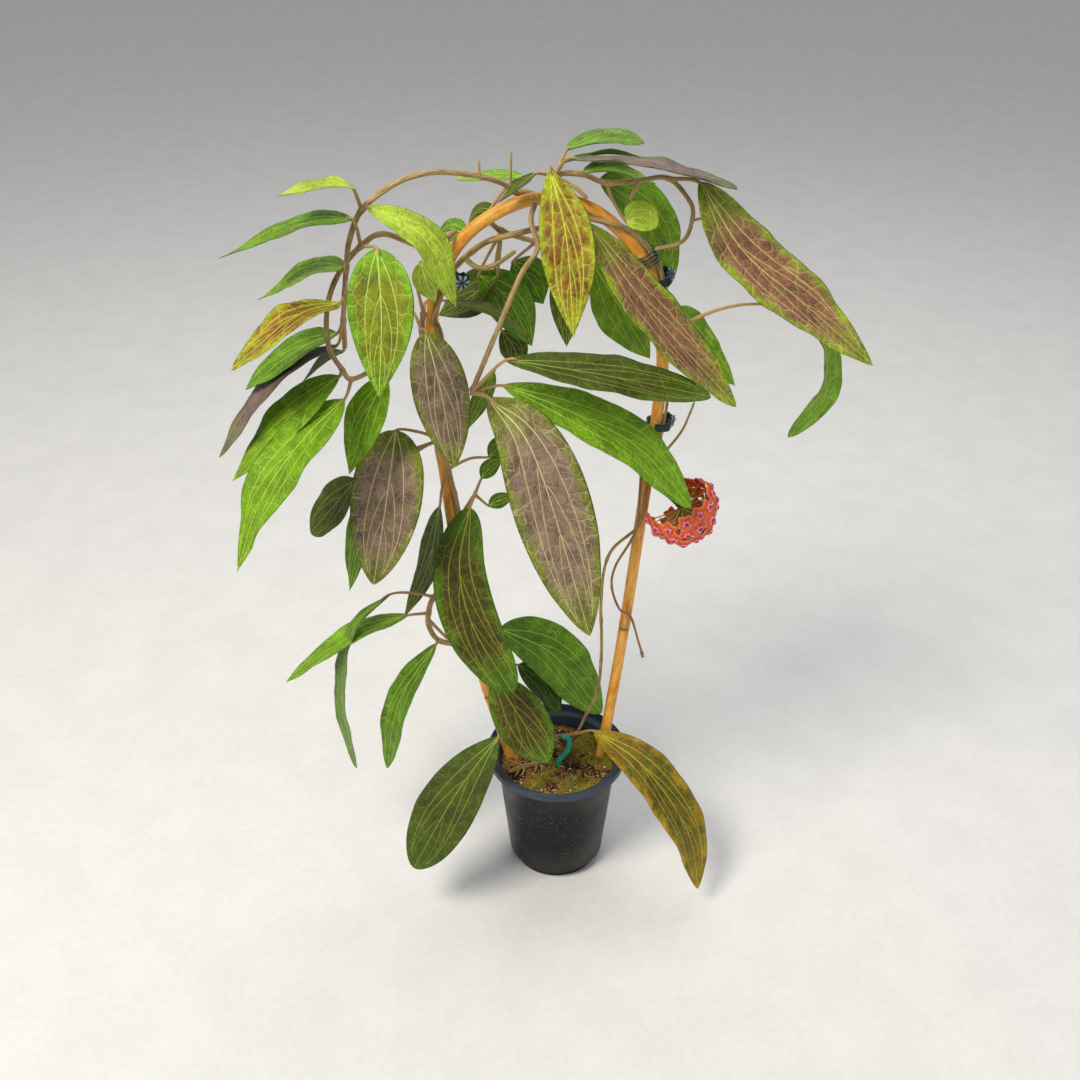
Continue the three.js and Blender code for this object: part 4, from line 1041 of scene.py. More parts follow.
@dataclass(frozen=True)
class Leaf:
    """One leaf: a stalk from its root on the stem by way of some points, then the blade along its rib.

    Its root is a point, or the number of a point of the shoot's route. The turn is the blade's roll about
    the rib, in degrees, from facing the front and above. The fold lifts its edges.
    """

    look: Look
    rib: Path
    width: float
    at: int = 0
    root: Point | None = None
    via: Path = ()
    turn: float = 0.0
    belly: float = 0.4
    base: float = 0.72
    fold: float = 0.12
    wave: float = 0.0
    stalk: float = 1.6

    def outline(self, u: Array) -> Array:
        """Returns how wide the blade is at shares u of its length, as a share of its full width."""
        tip = self.base * (1 - self.belly) / self.belly
        full = self.belly**self.base * (1 - self.belly) ** tip
        return u**self.base * (1 - u) ** tip / full

    def blade(self, draft: MeshDraft, hairs: StemDraft, finish: int, cell: tuple[float, float, float]) -> None:
        """Adds the blade, puckered between its nerves, with fine waves and a fringe of hairs at its edge.

        Args:
            draft: The mesh it goes into.
            hairs: Where its fringe goes.
            finish: The number of its material.
            cell: The corner and size of its square on the map.
        """
        random = hairs.random
        curve = Spline(self.rib)
        rows = 24 + int(curve.length / 3.0)
        plain = np.linspace(0, 1, rows)
        u = 0.7 * plain + 0.3 * (0.5 - 0.5 * np.cos(math.pi * plain))
        half_row = np.array((0, 0.06, 0.14, 0.23, 0.32, 0.41, 0.5, 0.59, 0.68, 0.77, 0.86, 0.94, 1.0))
        v = np.concatenate((-half_row[:0:-1], half_row))
        columns = len(v)
        along = curve.along(u)
        face = unit(FRONT - along * (along @ FRONT)[:, None])
        roll = math.radians(self.turn)
        side = np.cross(along, face) * math.cos(roll) + face * math.sin(roll)
        normal = np.cross(side, along)
        least = np.interp(u, (0, 0.08, 1), (1.3, 0.5, 0.12))
        half = np.maximum(self.outline(u) * self.width / 2, least)[:, None]
        run = (u * curve.length)[:, None]
        seed = random.uniform(0, 50)
        phase = random.uniform(0, math.tau, 8)
        uu, vv = u[:, None], v[None, :]
        # Each margin has edge waves of its own
        beside = np.where(vv < 0, phase[0], phase[1])
        calm = np.sin(math.pi * uu) ** 0.6
        swing = np.sin(run / 9.5 + beside) + 0.6 * np.sin(run / 5.3 + 2 * beside)
        edge = 0.022 * self.width * swing * np.abs(vv) ** 2.2 * calm
        ripple = self.wave * np.sin(uu * 15) * np.sin(math.pi * uu) * vv
        across = vv * half
        lift = np.sqrt(across**2 + 2.2) * self.fold + ripple + edge
        # The tissue bulges between the nerves, and each nerve stands out as a rib below
        bulge = 1 - bell(across, 1.6)
        ridge = bell(across, 0.9)
        nerves = {}
        for name, way in (("nerves_left", -1), ("nerves_right", 1)):
            gaps = []
            for nerve in NERVES:
                late = random.uniform(-0.05, 0.06) if nerve.start else 0.0
                gap, thick = nerve.away(uu, way * vv, half, late, random.normal(0, 0.016))
                bulge = bulge * (1 - 0.85 * bell(gap, 2.0))
                ridge = np.maximum(ridge, 0.5 * bell(gap, 0.9))
                gaps.append(gap / thick)
            nerves[name] = np.stack(gaps, axis=-1)
        puff = 0.5 * np.sin(run / 2.3 + 2.6 * np.sin(across / 4 + phase[2]) + phase[3])
        puff = puff + 0.8 * np.sin(run / 5.3 + np.sign(vv) * phase[4] + 1.4 * np.sin(across / 5 + run / 17))
        quilt = bulge * (0.55 + 0.3 * puff * np.abs(vv) ** 0.5) * calm
        rim = np.sqrt(np.clip(1 - vv**2, 0, 1))
        thick = (0.14 + 0.42 * rim) * np.clip(half / 3, 0.35, 1)
        centre = curve.at(u)[:, None, :] + side[:, None, :] * across[..., None]
        top = centre + normal[:, None, :] * (lift + quilt + thick)[..., None]
        spine = ridge * np.interp(u, (0, 1), (0.75, 0.15))[:, None]
        low = centre + normal[:, None, :] * (lift + 0.8 * quilt - thick - spine)[..., None]
        rib = across / np.interp(u, (0, 0.3, 1), (0.62, 0.4, 0.2))[:, None]
        mm = np.stack(np.broadcast_arrays(run - 0.3 * np.abs(across), across, seed * 5.0), axis=-1)
        at = np.stack(np.broadcast_arrays(uu, vv, rib), axis=-1)
        inner = slice(columns - 2, 0, -1)
        ring = 2 * columns - 2
        faces = ring_faces(rows, ring, capped=False)
        for row, flip in ((0, True), (rows - 1, False)):
            first = row * ring
            for j in range(columns - 1):
                ends = [first + j, first + j + 1, first + (ring - j - 1), first + (ring - j) % ring]
                ends = list(dict.fromkeys(ends))
                faces.append(tuple(reversed(ends)) if flip else tuple(ends))
        left, bottom, size = cell
        uvs = []
        shift = np.concatenate((v, v[inner]))
        for loop in faces:
            under = any(i % ring >= columns for i in loop)
            for i in loop:
                x = 0.25 + 0.21 * shift[i % ring] + (0.5 if under else 0.0)
                uvs.append((left + size * x, bottom + size * (0.03 + 0.94 * u[i // ring])))
        values = {
            name: np.concatenate((part, part[:, inner]), axis=1).reshape(-1, 3)
            for name, part in {"leaf_at": at, "leaf_mm": mm, **nerves}.items()
        }
        below = np.concatenate((np.zeros((rows, columns)), np.ones((rows, columns - 2))), axis=1).ravel()
        points = np.concatenate((top, low[:, inner]), axis=1).reshape(-1, 3)
        draft.add(points, faces, finish, uvs, below=below, **values)
        for column, way in ((0, -1.0), (-1, 1.0)):
            self.fringe(hairs, top[:, column], side * way, along, normal)

    @staticmethod
    def fringe(hairs: StemDraft, line: Array, out: Array, along: Array, normal: Array) -> None:
        """Sets hairs along one edge of the blade.

        Args:
            hairs: Where they go.
            line: The edge.
            out: The directions away from the blade along it.
            along: The directions along the blade.
            normal: The blade's upward directions.
        """
        random = hairs.random
        run = run_along(line)
        count = int(run[-1] / 1.1)
        place = random.uniform(0, run[-1], count)
        root, away, ahead, up = (picked(place, run, part) for part in (line, out, along, normal))
        rise = random.normal(0, 0.45, count)[:, None]
        lean = unit(away + ahead * random.uniform(0.1, 0.7, count)[:, None] + up * rise)
        hairs.root_hairs(root - away * 0.1, lean, random.uniform(0.5, 1.4, count), 0.03)

    def petiole(self, stems: StemDraft, root: Point) -> None:
        """Adds the stalk, which ends in the blade's base.

        Args:
            stems: Where it goes.
            root: Where it leaves the stem.
        """
        rib = Spline(self.rib)
        spans = len(self.via) + 2
        route = [root, *self.via, self.rib[0], tuple(rib.at(0.12))]
        stems.lead(route, (self.stalk, 1.05), youth=0.8, nodes=(0.0,), until=(spans - 0.55) / spans, down=0.8,
                   swell=0.25)


@dataclass(frozen=True)
class Twig:
    """A short bare side shoot or stump."""

    route: Path
    radii: tuple[float, float]


@dataclass(frozen=True)
class Shoot:
    """A leafy shoot: one grown piece of stem, stalks and blades."""

    name: str
    slot: str
    route: Path
    radii: tuple[float, float]
    leaves: tuple[Leaf, ...]
    twigs: tuple[Twig, ...] = ()
    down: float = 0.8

    def build(self) -> None:
        """Makes the shoot's stems, blades and hairs."""
        stems = StemDraft(sum(map(ord, self.name)))
        curve = Spline(self.route)
        roots = [leaf.root or self.route[leaf.at] for leaf in self.leaves]
        line = curve.at(np.linspace(0, 1, 400))
        nodes = [float(np.argmin(np.linalg.norm(line - np.array(r), axis=1))) / 399 * curve.length for r in roots]
        stems.lead(self.route, self.radii, nodes=nodes, down=self.down)
        for twig in self.twigs:
            stems.lead(twig.route, twig.radii, youth=0.4, down=self.down)
        looks = list(dict.fromkeys(leaf.look for leaf in self.leaves))
        blades = MeshDraft()
        grid = math.ceil(math.sqrt(len(self.leaves)))
        for i, (leaf, root) in enumerate(zip(self.leaves, roots)):
            leaf.petiole(stems, root)
            cell = ((i % grid) / grid, (i // grid) / grid, 1 / grid)
            leaf.blade(blades, stems, looks.index(leaf.look), cell)
        leaves = blades.piece(self.name + "_blades", [look.material() for look in looks])
        settle_in(leaves, self.slot, self.name)
        settle_in(stems.piece(self.name + "_stems", SHOOT_SKIN), self.slot)
        settle_in(stems.hair_piece(self.name + "_hairs", STEM_HAIR), self.slot)


HOOP = CaneHoop()

SHOOTS = (
    Shoot("arching_shoot", "bright_leaf", (
        *HOOP.wound(((-20, 695, 180), (-34, 692, 115)), 2.6), (-47, 2, 710), (-70, -15, 721), (-98, -35, 728),
        (-123, -50, 724), (-147, -60, 708), (-157, -66, 687), (-161, -66, 666), (-165, -60, 643), (-169, -52, 619),
        (-171, -44, 594),
    ), (2.4, 2), (
        Leaf(Look.SPRING, ((-152, -64, 726), (-168, -72, 729), (-203, -84, 725)), 38, at=-6, turn=-60, belly=0.25,
             base=0.35),
        Leaf(Look.SPRING, ((-143, -66, 712), (-102, -70, 689), (-80, -74, 639)), 38, at=-6, turn=46, belly=0.44),
        Leaf(Look.FRESH, ((-162, -66, 666), (-188, -62, 662), (-232, -56, 637)), 42, at=-4, turn=-57, belly=0.32,
             base=0.6),
        Leaf(Look.MOTTLED, ((-167, -72, 641), (-197, -100, 640), (-245, -112, 604)), 46, at=-3, turn=-50, belly=0.48),
        Leaf(Look.GREEN, ((-176, -44, 605), (-208, -48, 592), (-251, -56, 562)), 46, at=-2, turn=-52, belly=0.45),
        Leaf(Look.PURPLE, ((-176, -48, 597), (-222, -64, 576), (-273, -80, 514)), 40, at=-2, turn=-58, belly=0.5),
        Leaf(Look.OLIVE, ((-174, -38, 587), (-187, -40, 581), (-207, -44, 564)), 28, at=-1, turn=-65),
    ), (
        Twig(((-63, -11, 718), (-63, -11, 731)), (1.2, 0.8)), Twig(((-40, 6, 705), (-39, 6, 733)), (1.2, 0.8)),
    )),
    Shoot("drooping_shoot", "green_leaf", (
        HOOP.beside(-80, 664, 100, 2.4), (-105, -26, 669), (-134, -48, 686), (-150, -58, 680), (-167, -50, 660),
        (-176, -62, 643), (-180, -66, 621), (-179, -66, 600), (-171, -66, 584), (-165, -62, 574), (-149, -46, 575),
    ), (2.4, 2), (
        Leaf(Look.GREEN, ((-152, -74, 705), (-187, -76, 702), (-250, -86, 680)), 38, at=3, turn=-57, belly=0.34),
        Leaf(Look.HEART, ((-134, -90, 689), (-131, -114, 646), (-135, -128, 590)), 48, at=3, belly=0.38, base=0.62),
        Leaf(Look.FRESH, ((-173, -70, 580), (-209, -80, 553), (-262, -92, 499)), 44, at=8, turn=-38),
        Leaf(Look.FRESH, ((-169, -80, 565), (-199, -106, 543), (-231, -130, 504), (-255, -142, 445)), 48, at=9,
             turn=-30, belly=0.37, wave=2),
        Leaf(Look.FRESH, ((-139, -50, 571), (-157, -60, 537), (-172, -72, 494)), 36, at=10, turn=-20),
    )),
    Shoot("left_leg_shoot", "bronze_leaf", HOOP.wound(((-106, 600, 80), (-108, 585, 80), (-107, 548, 80)), 2.2),
          (2.2, 2), (
        Leaf(Look.BRONZE, ((-108, -30, 601), (-96, -50, 555), (-87, -62, 495)), 45, at=1, via=((-114, -14, 596),),
             belly=0.42, base=0.62),
        Leaf(Look.SPRING, ((-111, -10, 651), (-107, -14, 635), (-100, -16, 620)), 20, via=((-116, 0, 630),)),
        Leaf(Look.OLIVE, ((-92, 22, 606), (-57, 2, 604), (-24, -6, 584)), 26, via=((-110, 24, 606),), turn=60),
        Leaf(Look.DARK, ((-141, 40, 596), (-150, 48, 558), (-160, 52, 513)), 36, at=1, via=((-124, 26, 596),)),
    )),
    Shoot("left_middle_shoot", "bronze_leaf", HOOP.wound(((-107, 527, 20), (-102, 487, 0), (-98, 458, -35),
          (-93, 405, -80)), 2.2), (2.2, 2.2), (
        Leaf(Look.BRONZE, ((-137, -30, 513), (-145, -60, 463), (-158, -84, 394)), 60, at=2, via=((-116, -14, 502),),
             belly=0.4, base=0.5),
        Leaf(Look.OLIVE, ((-177, -10, 454), (-198, -8, 428), (-223, -6, 397)), 46, at=2, via=((-130, -10, 482),),
             turn=-38, belly=0.5),
        Leaf(Look.OLIVE, ((-106, -4, 424), (-120, 2, 356), (-147, 8, 293)), 26, at=4, via=((-103, -8, 444),), turn=-30),
        Leaf(Look.GREEN, ((-62, 10, 466), (-52, 14, 475), (-40, 16, 486)), 18, at=4, via=((-78, 4, 468),)),
        Leaf(Look.BROWNED, ((-79, -10, 426), (-88, -40, 382), (-76, -62, 333), (-42, -76, 271)), 50, at=-1,
             via=((-75, 0, 434),), belly=0.5, base=0.5, stalk=2),
        Leaf(Look.GREEN, ((-69, 8, 446), (-61, 14, 454), (-50, 18, 461)), 15, root=(-75, 0, 434)),
        Leaf(Look.GREEN, ((-63, 2, 421), (-54, 6, 424), (-40, 10, 428)), 14, root=(-75, 0, 434)),
        Leaf(Look.GREEN, ((-132, -20, 478), (-168, -34, 426), (-187, -40, 358)), 34, at=2, via=((-116, -12, 488),),
             turn=-24),
    )),
    Shoot("looped_shoot", "green_leaf", (
        HOOP.beside(-80, 262, 60, 1.1), (-112, -6, 277), (-121, -10, 296), (-121, -10, 312), (-115, -8, 329),
        HOOP.beside(-92, 342, 40, 1.1),
    ), (2.6, 2.6), (
        Leaf(Look.GREEN, ((-155, -14, 336), (-190, -26, 304), (-205, -36, 232), (-197, -44, 151)), 30, at=4,
             via=((-133, -12, 336),), turn=-60, belly=0.6),
        Leaf(Look.FRESH, ((-139, -16, 314), (-194, -24, 295), (-256, -36, 251)), 34, at=3, turn=-58, belly=0.45),
        Leaf(Look.GREEN, ((-115, -12, 278), (-152, -26, 219), (-168, -36, 143)), 34, at=1, turn=-40, belly=0.5),
    ), (
        Twig(((-121, -12, 306), (-110, -15, 294), (-101, -15, 283)), (1.8, 1.5)),
    )),
    Shoot("middle_shoot", "bronze_leaf", (
        HOOP.beside(-21, 695, -10, 2.2), (-24, -8, 683), (-19, -16, 664), (-32, -24, 645), (-50, -36, 606),
        (-72, -48, 556),
    ), (2.2, 2.2), (
        Leaf(Look.BRONZE, ((-58, -56, 555), (-21, -86, 517), (25, -112, 361)), 64, at=5, belly=0.46, base=0.7,
             stalk=2.2),
        Leaf(Look.FRESH, ((-47, -50, 563), (6, -54, 542), (62, -57, 511), (110, -58, 454)), 48, at=5, turn=30,
             belly=0.5, base=0.75),
        Leaf(Look.OLIVE, ((-44, -62, 590), (30, -70, 581), (116, -78, 566)), 42, at=5, turn=38, belly=0.55, base=0.75),
        Leaf(Look.GREEN, ((-54, -42, 572), (-65, -34, 545), (-79, -28, 511)), 16, at=5, turn=20),
    ), (
        Twig(((-19, -16, 664), (-12, -14, 672)), (1.8, 1.4)),
    )),
    Shoot("crown_shoot", "bright_leaf", (
        HOOP.beside(-5, 694, 180, 2.4), (-5, 14, 712), (15, 4, 716), (34, -2, 711), (59, -6, 714), (81, -8, 716),
        (99, -6, 697), (102, 0, 681), (96, 4, 663), (74, 2, 657),
    ), (2.4, 1.6), (
        Leaf(Look.MOTTLED, ((-10, -18, 727), (3, -40, 679), (9, -58, 607)), 42, at=1, belly=0.46, base=1, wave=1.5),
        Leaf(Look.PURPLE, ((4, -8, 731), (65, -26, 730), (129, -40, 717)), 48, at=1, turn=64, belly=0.6),
        Leaf(Look.GREEN, ((4, 26, 729), (34, 40, 733), (65, 46, 730)), 45, at=1, turn=56, belly=0.6),
        Leaf(Look.GREEN, ((-1, 22, 720), (34, 30, 725), (68, 34, 720)), 34, at=1, turn=72),
        Leaf(Look.FRESH, ((17, 12, 715), (42, 22, 714), (75, 26, 702)), 38, at=2, turn=58),
        Leaf(Look.FRESH, ((30, 24, 706), (67, 44, 672), (92, 54, 606)), 54, at=3, turn=24, belly=0.5, base=0.6),
        Leaf(Look.SPRING, ((51, 4, 678), (61, 4, 682), (76, 4, 676)), 24, at=3, via=((40, 4, 695),), belly=0.42,
             base=0.5, fold=0.45),
        Leaf(Look.BLUSH, ((103, -22, 717), (138, -42, 669), (186, -58, 633), (241, -68, 588)), 56, at=5, turn=24,
             belly=0.42, base=0.65, stalk=2),
        Leaf(Look.OLIVE, ((-20, -8, 720), (-34, -9, 709), (-50, -8, 697)), 22, at=1, turn=-60),
    ), (
        Twig(((-5, 12, 711), (10, 3, 706), (20, 0, 698)), (1.8, 1.6)), Twig(((59, -6, 714), (52, -6, 699)), (2, 1.6)),
        Twig(((102, 0, 681), (113, 2, 683)), (1.4, 1)),
    )),
    Shoot("shoulder_shoot", "bronze_leaf", (
        *HOOP.wound(((20, 689, -60), (36, 677, 0), (50, 666, 60), (64, 649, 90), (80, 613, 90)), 2.4), (95, 1, 605),
        (101, -6, 598),
    ), (2.2, 2.2), (
        Leaf(Look.BLUSH, ((20, -20, 685), (65, -42, 627), (140, -56, 547)), 52, via=((17, -6, 681),), turn=36,
             belly=0.48, base=0.7),
        Leaf(Look.FRESH, ((181, -10, 613), (217, -8, 581), (221, -12, 539), (194, -14, 498)), 34, at=-1,
             via=((126, -10, 611), (152, -10, 616)), turn=50, belly=0.55, base=0.7),
        Leaf(Look.FRESH, ((98, 10, 606), (110, 16, 578), (150, 16, 532)), 40, at=-1, turn=30),
    )),
    Shoot("behind_shoot", "olive_leaf", (
        HOOP.beside(-61, 678, 180, 2.2), (-48, 24, 665), (-20, 24, 656), (8, 25, 652), (30, 27, 640),
    ), (2.2, 1.8), (
        Leaf(Look.OLIVE, ((-53, 43, 620), (-78, 46, 599), (-104, 48, 583)), 40, at=1, turn=-20),
        Leaf(Look.GREEN, ((-68, 42, 622), (-44, 46, 598), (-24, 50, 554)), 40, at=1),
        Leaf(Look.GREEN, ((-40, 56, 628), (-26, 60, 611), (-14, 62, 588)), 36, at=2),
        Leaf(Look.OLIVE, ((2, 34, 633), (5, 40, 600), (6, 42, 557)), 28, at=3),
        Leaf(Look.FRESH, ((26, 34, 634), (47, 42, 598), (79, 48, 543)), 56, at=4, turn=20),
        Leaf(Look.OLIVE, ((-52, 30, 675), (-62, 31, 676), (-75, 32, 668)), 24, turn=-30),
        Leaf(Look.GREEN, ((-77, 32, 660), (-88, 34, 661), (-102, 36, 655)), 26, turn=-30),
        Leaf(Look.FRESH, ((-30, 36, 705), (-56, 40, 703), (-86, 42, 701)), 28, via=((-44, 30, 698),), turn=-55),
        Leaf(Look.GREEN, ((52, 70, 616), (86, 84, 571), (124, 92, 517)), 40, at=3, via=((26, 46, 640),), turn=20),
        Leaf(Look.OLIVE, ((-51, 70, 560), (-41, 72, 545), (-34, 74, 522)), 26, at=1, via=((-56, 66, 610),)),
    )),
    Shoot("foot_shoot", "green_leaf", HOOP.wound(((-83, 290, -50), (-74, 233, -30), (-67, 195, -30)), 2.2),
          (2.2, 2.2), (
        Leaf(Look.BROWNED, ((-61, -26, 250), (-38, -46, 221), (-9, -60, 173)), 50, at=2, belly=0.5),
        Leaf(Look.GREEN, ((-56, 24, 269), (-4, 32, 231), (46, 30, 158)), 60, turn=28, belly=0.45, base=0.6),
        Leaf(Look.DARK, ((-39, 24, 225), (-12, 22, 201), (3, 20, 163)), 34, at=2, via=((-56, 12, 232),), turn=30),
        Leaf(Look.DARK, ((-34, 50, 229), (0, 60, 193), (33, 64, 149)), 44, via=((-58, 34, 260),), turn=24),
        Leaf(Look.OLIVE, ((-57, -40, 188), (-99, -74, 142), (-140, -100, 72)), 58, at=-1, turn=-14, belly=0.56,
             base=0.8, stalk=2),
    )),
    Shoot("low_right_leaf", "olive_leaf", (
        (-4, 12, 96), (-5, 13, 124), (-4, 14, 140), (-6, 14, 158),
    ), (3, 2.4), (
        Leaf(Look.SCORCHED, ((37, 0, 160), (85, -34, 143), (128, -66, 89), (141, -88, 30)), 52, at=2,
             via=((19, 8, 149),), turn=36, belly=0.48, base=0.7, stalk=2.2),
    )),
)


# Bare climbing stems


@dataclass(frozen=True)
class BareVine:
    """A leafless stem with its side stems."""

    name: str
    node: str
    bark: Finish
    route: Path
    radii: tuple[float, float]
    twigs: tuple[Twig, ...] = ()
    down: float = 0.2

    def build(self) -> None:
        """Makes the stem and its few hairs."""
        stems = StemDraft(len(self.name))
        nodes = np.arange(30, Spline(self.route).length, 62)
        nodes = nodes + stems.random.uniform(-9, 9, len(nodes))
        stems.lead(self.route, self.radii, nodes=list(nodes), down=self.down, swell=0.22)
        for twig in self.twigs:
            stems.lead(twig.route, twig.radii, youth=0.3, down=self.down)
        settle_in(stems.piece(self.name, self.bark), "bark", self.node)
        settle_in(stems.hair_piece(self.name + "_hairs", STEM_HAIR), "bark")


VINES = (
    BareVine("old_vine", "climbing_vine", VINE_BARK, (
        (-24, 16, 96), (-26, 17, 122), (-42, 20, 160), *HOOP.wound(((-70, 210, 180), (-84, 290, 150), (-97, 400, 190),
        (-103, 470, 150), (-108, 548, 200), (-105, 600, 350), (-90, 646, 300)), 2.8), (-61, 9, 660), (-38, 9, 667),
        (-16, 10, 672),
    ), (3.1, 2.4), (Twig(((-78, 8, 648), (-66, 4, 641), (-52, 2, 645), (-36, 2, 656)), (2.4, 1.8)),)),
    BareVine("right_vine", "thin_vine", VINE_BARK, (
        (8, 16, 96), (9, 15, 120), (19, 12, 142), (30, 8, 177), (40, 3, 209), (42, -2, 265), (40, -4, 317),
        (42, -4, 357), (50, -3, 380), *HOOP.wound(((73, 400, -20), (76, 430, 0), (79, 462, 20), (83, 500, 60),
        (85, 535, 80)), 1.5),
    ), (1.6, 1.35), (Twig((HOOP.beside(79, 462, 20, 1.5), (104, 4, 492), (111, 4, 510), (115, 6, 522)), (1.3, 1)),)),
    BareVine("curling_tendril", "tendril", TENDRIL_SKIN, (
        *HOOP.wound(((82, 482, -70), (80, 458, -70)), 1.3), (71, -6, 440), (69, -6, 400), (52, -11, 366),
        (49, -10, 342), (57, -7, 315), HOOP.beside(66, 300, 30, 1.3), (77, -4, 274), (81, -4, 260),
    ), (1.25, 1.1), (Twig(((80.5, -4, 262), (82, -4, 255)), (1.8, 1.4)),), down=0.6),
)


# The umbel


@dataclass
class Umbel:
    """The flower head: a bowl of felted star florets on stalks that fan from one heart.

    Each tier has a number of florets and an angle from the axis. None faces the bare side too closely.
    """

    heart: Point = (108, -10, 426)
    axis: Point = (0.42, 0.1, -0.9)
    bare: Point = (-0.7, 0.7, 0.1)
    bare_limit: float = 0.66
    radius: float = 30.0
    floret: float = 16.4
    tiers: tuple[tuple[int, float], ...] = ((1, 0), (7, 26), (12, 51), (15, 76), (14, 98))

    def seats(self) -> tuple[Array, Array]:
        """Returns where each floret sits, and the direction that it faces."""
        random = np.random.default_rng(11)
        tilt = Vector((0, 1, 0)).rotation_difference(Vector(self.axis).normalized())
        bare = Vector(self.bare).normalized()
        out = []
        for tier, (count, polar) in enumerate(self.tiers):
            for i in range(count):
                around = math.tau * (i + 0.5 * (tier % 2)) / count + random.normal(0, 0.04)
                lean = math.radians(polar + random.normal(0, 1.5))
                way = Vector((math.sin(lean) * math.sin(around), math.cos(lean), math.sin(lean) * math.cos(around)))
                if (tilt @ way).dot(bare) < self.bare_limit:
                    out.append(tilt @ way)
        faces = np.array([tuple(v) for v in out])
        reach = self.radius + random.normal(0, 0.7, len(faces))
        return np.array(self.heart) + faces * reach[:, None], faces

    def petals(self) -> MeshDraft:
        """Makes one floret's five broad pointed petals, each folded along its middle and bent back."""
        lobe = np.abs((full_turn(50) * 5 / math.tau + 0.5) % 1 - 0.5) * 2
        reach = self.floret / 2 * (0.68 + 0.34 * (1 - lobe) ** 1.1)
        shares = np.array((0.26, 0.5, 0.72, 0.89, 1.0))
        top = 2.3 - 3.0 * shares[:, None] ** 2.6 * (1 - 0.4 * lobe) - 1.1 * lobe * shares[:, None]
        points, faces, share = plate(reach, top, 0.6, shares)
        # The edge value brings in the pale colour, a painted highlight along each petal's rim
        return MeshDraft().add(points, faces, edge=ease(share, 0.84, 1.0))

    def crown(self) -> MeshDraft:
        """Makes one floret's waxy crown: five glossy lobes round a raised middle."""
        lobe = 0.5 + 0.5 * np.cos(5 * full_turn(40))
        reach = self.floret * 0.235 * (0.62 + 0.38 * lobe**0.8)
        shares = np.array((0.2, 0.42, 0.66, 0.88, 1.0))
        lifted = 0.7 * lobe * np.sin(math.pi * np.clip(shares[:, None] * 0.95, 0, 1))
        top = 3.9 - 0.9 * ease(shares[:, None], 0.2, 0.42) + lifted - 0.7 * shares[:, None] ** 5
        points, faces, share = plate(reach, top, 1.7, shares)
        return MeshDraft().add(points, faces, edge=ease(share, 0.5, 0.8))

    def build(self) -> None:
        """Makes the florets, their crowns, and the stalks."""
        seats, ways = self.seats()
        sizes = np.random.default_rng(3).uniform(0.93, 1.07, len(seats))
        roots = MeshDraft().add(seats, (), lean=ways, size=np.repeat(sizes[:, None], 3, axis=1))
        settle_in(strewn(self.petals(), roots, "umbel_petals", PETAL), "floret", "flower_umbel")
        settle_in(strewn(self.crown(), roots, "umbel_crowns", CORONA), "floret")
        stems = StemDraft(5)
        stems.lead((HOOP.beside(79, 449, 62, 0.8), (94, -2, 438), self.heart), (1.5, 1.9), youth=1.0,
                   nodes=(6, 11, 17, 22, 27, 33), down=0.6, swell=0.3)
        heart = np.array(self.heart)
        sag = np.array((0, 0, -0.8))
        for seat, way in zip(seats, ways):
            middle = heart + way * self.radius * 0.5 + sag
            stems.lead((tuple(heart + way), tuple(middle), tuple(seat + way * 0.6)), (0.62, 0.5), down=0.35)
        line = np.linspace(-2.6, 2.6, 9)
        axis = unit(np.array(self.axis))
        stems.add(heart + axis * line[:, None], 2.9 * np.sqrt(np.clip(1 - (line / 2.9) ** 2, 0.05, 1)), 0.6)
        settle_in(stems.piece("umbel_stalks", PEDICEL, sides=8), "floret")
        settle_in(stems.hair_piece("umbel_hairs", LEAF_HAIR), "floret")


# Clips, tie and root


@dataclass(frozen=True)
class WireCoil:
    """Dark coated wire wound round the cane and the stem beside it."""

    place: tuple[float, float] = (65, 645)
    turns: int = 4
    wire: float = 0.7
    height: float = 12.0
    reach: float = 9.6
    depth: float = 6.9
    shift: float = 2.4

    def build(self) -> None:
        """Makes the coil."""
        share = HOOP.nearest(*self.place)
        along, outward = HOOP.curve.direction(share), HOOP.aside(share, 90)
        middle = HOOP.curve.at_share(share) + outward * self.shift
        u = np.linspace(0, 1, self.turns * 36 + 1)
        angle = math.tau * self.turns * u
        points = middle + np.outer(self.height * (u - 0.5), along) + np.outer(self.reach * np.cos(angle), outward)
        points[:, 1] += self.depth * np.sin(angle)
        ends = np.clip(np.minimum(u, 1 - u) * 90 + 0.3, 0, 1)
        stems = StemDraft()
        stems.add(points, self.wire * np.sqrt(ends))
        settle_in(stems.piece("stem_wire", WIRE_COAT, sides=10), "wire", "wire_coil")


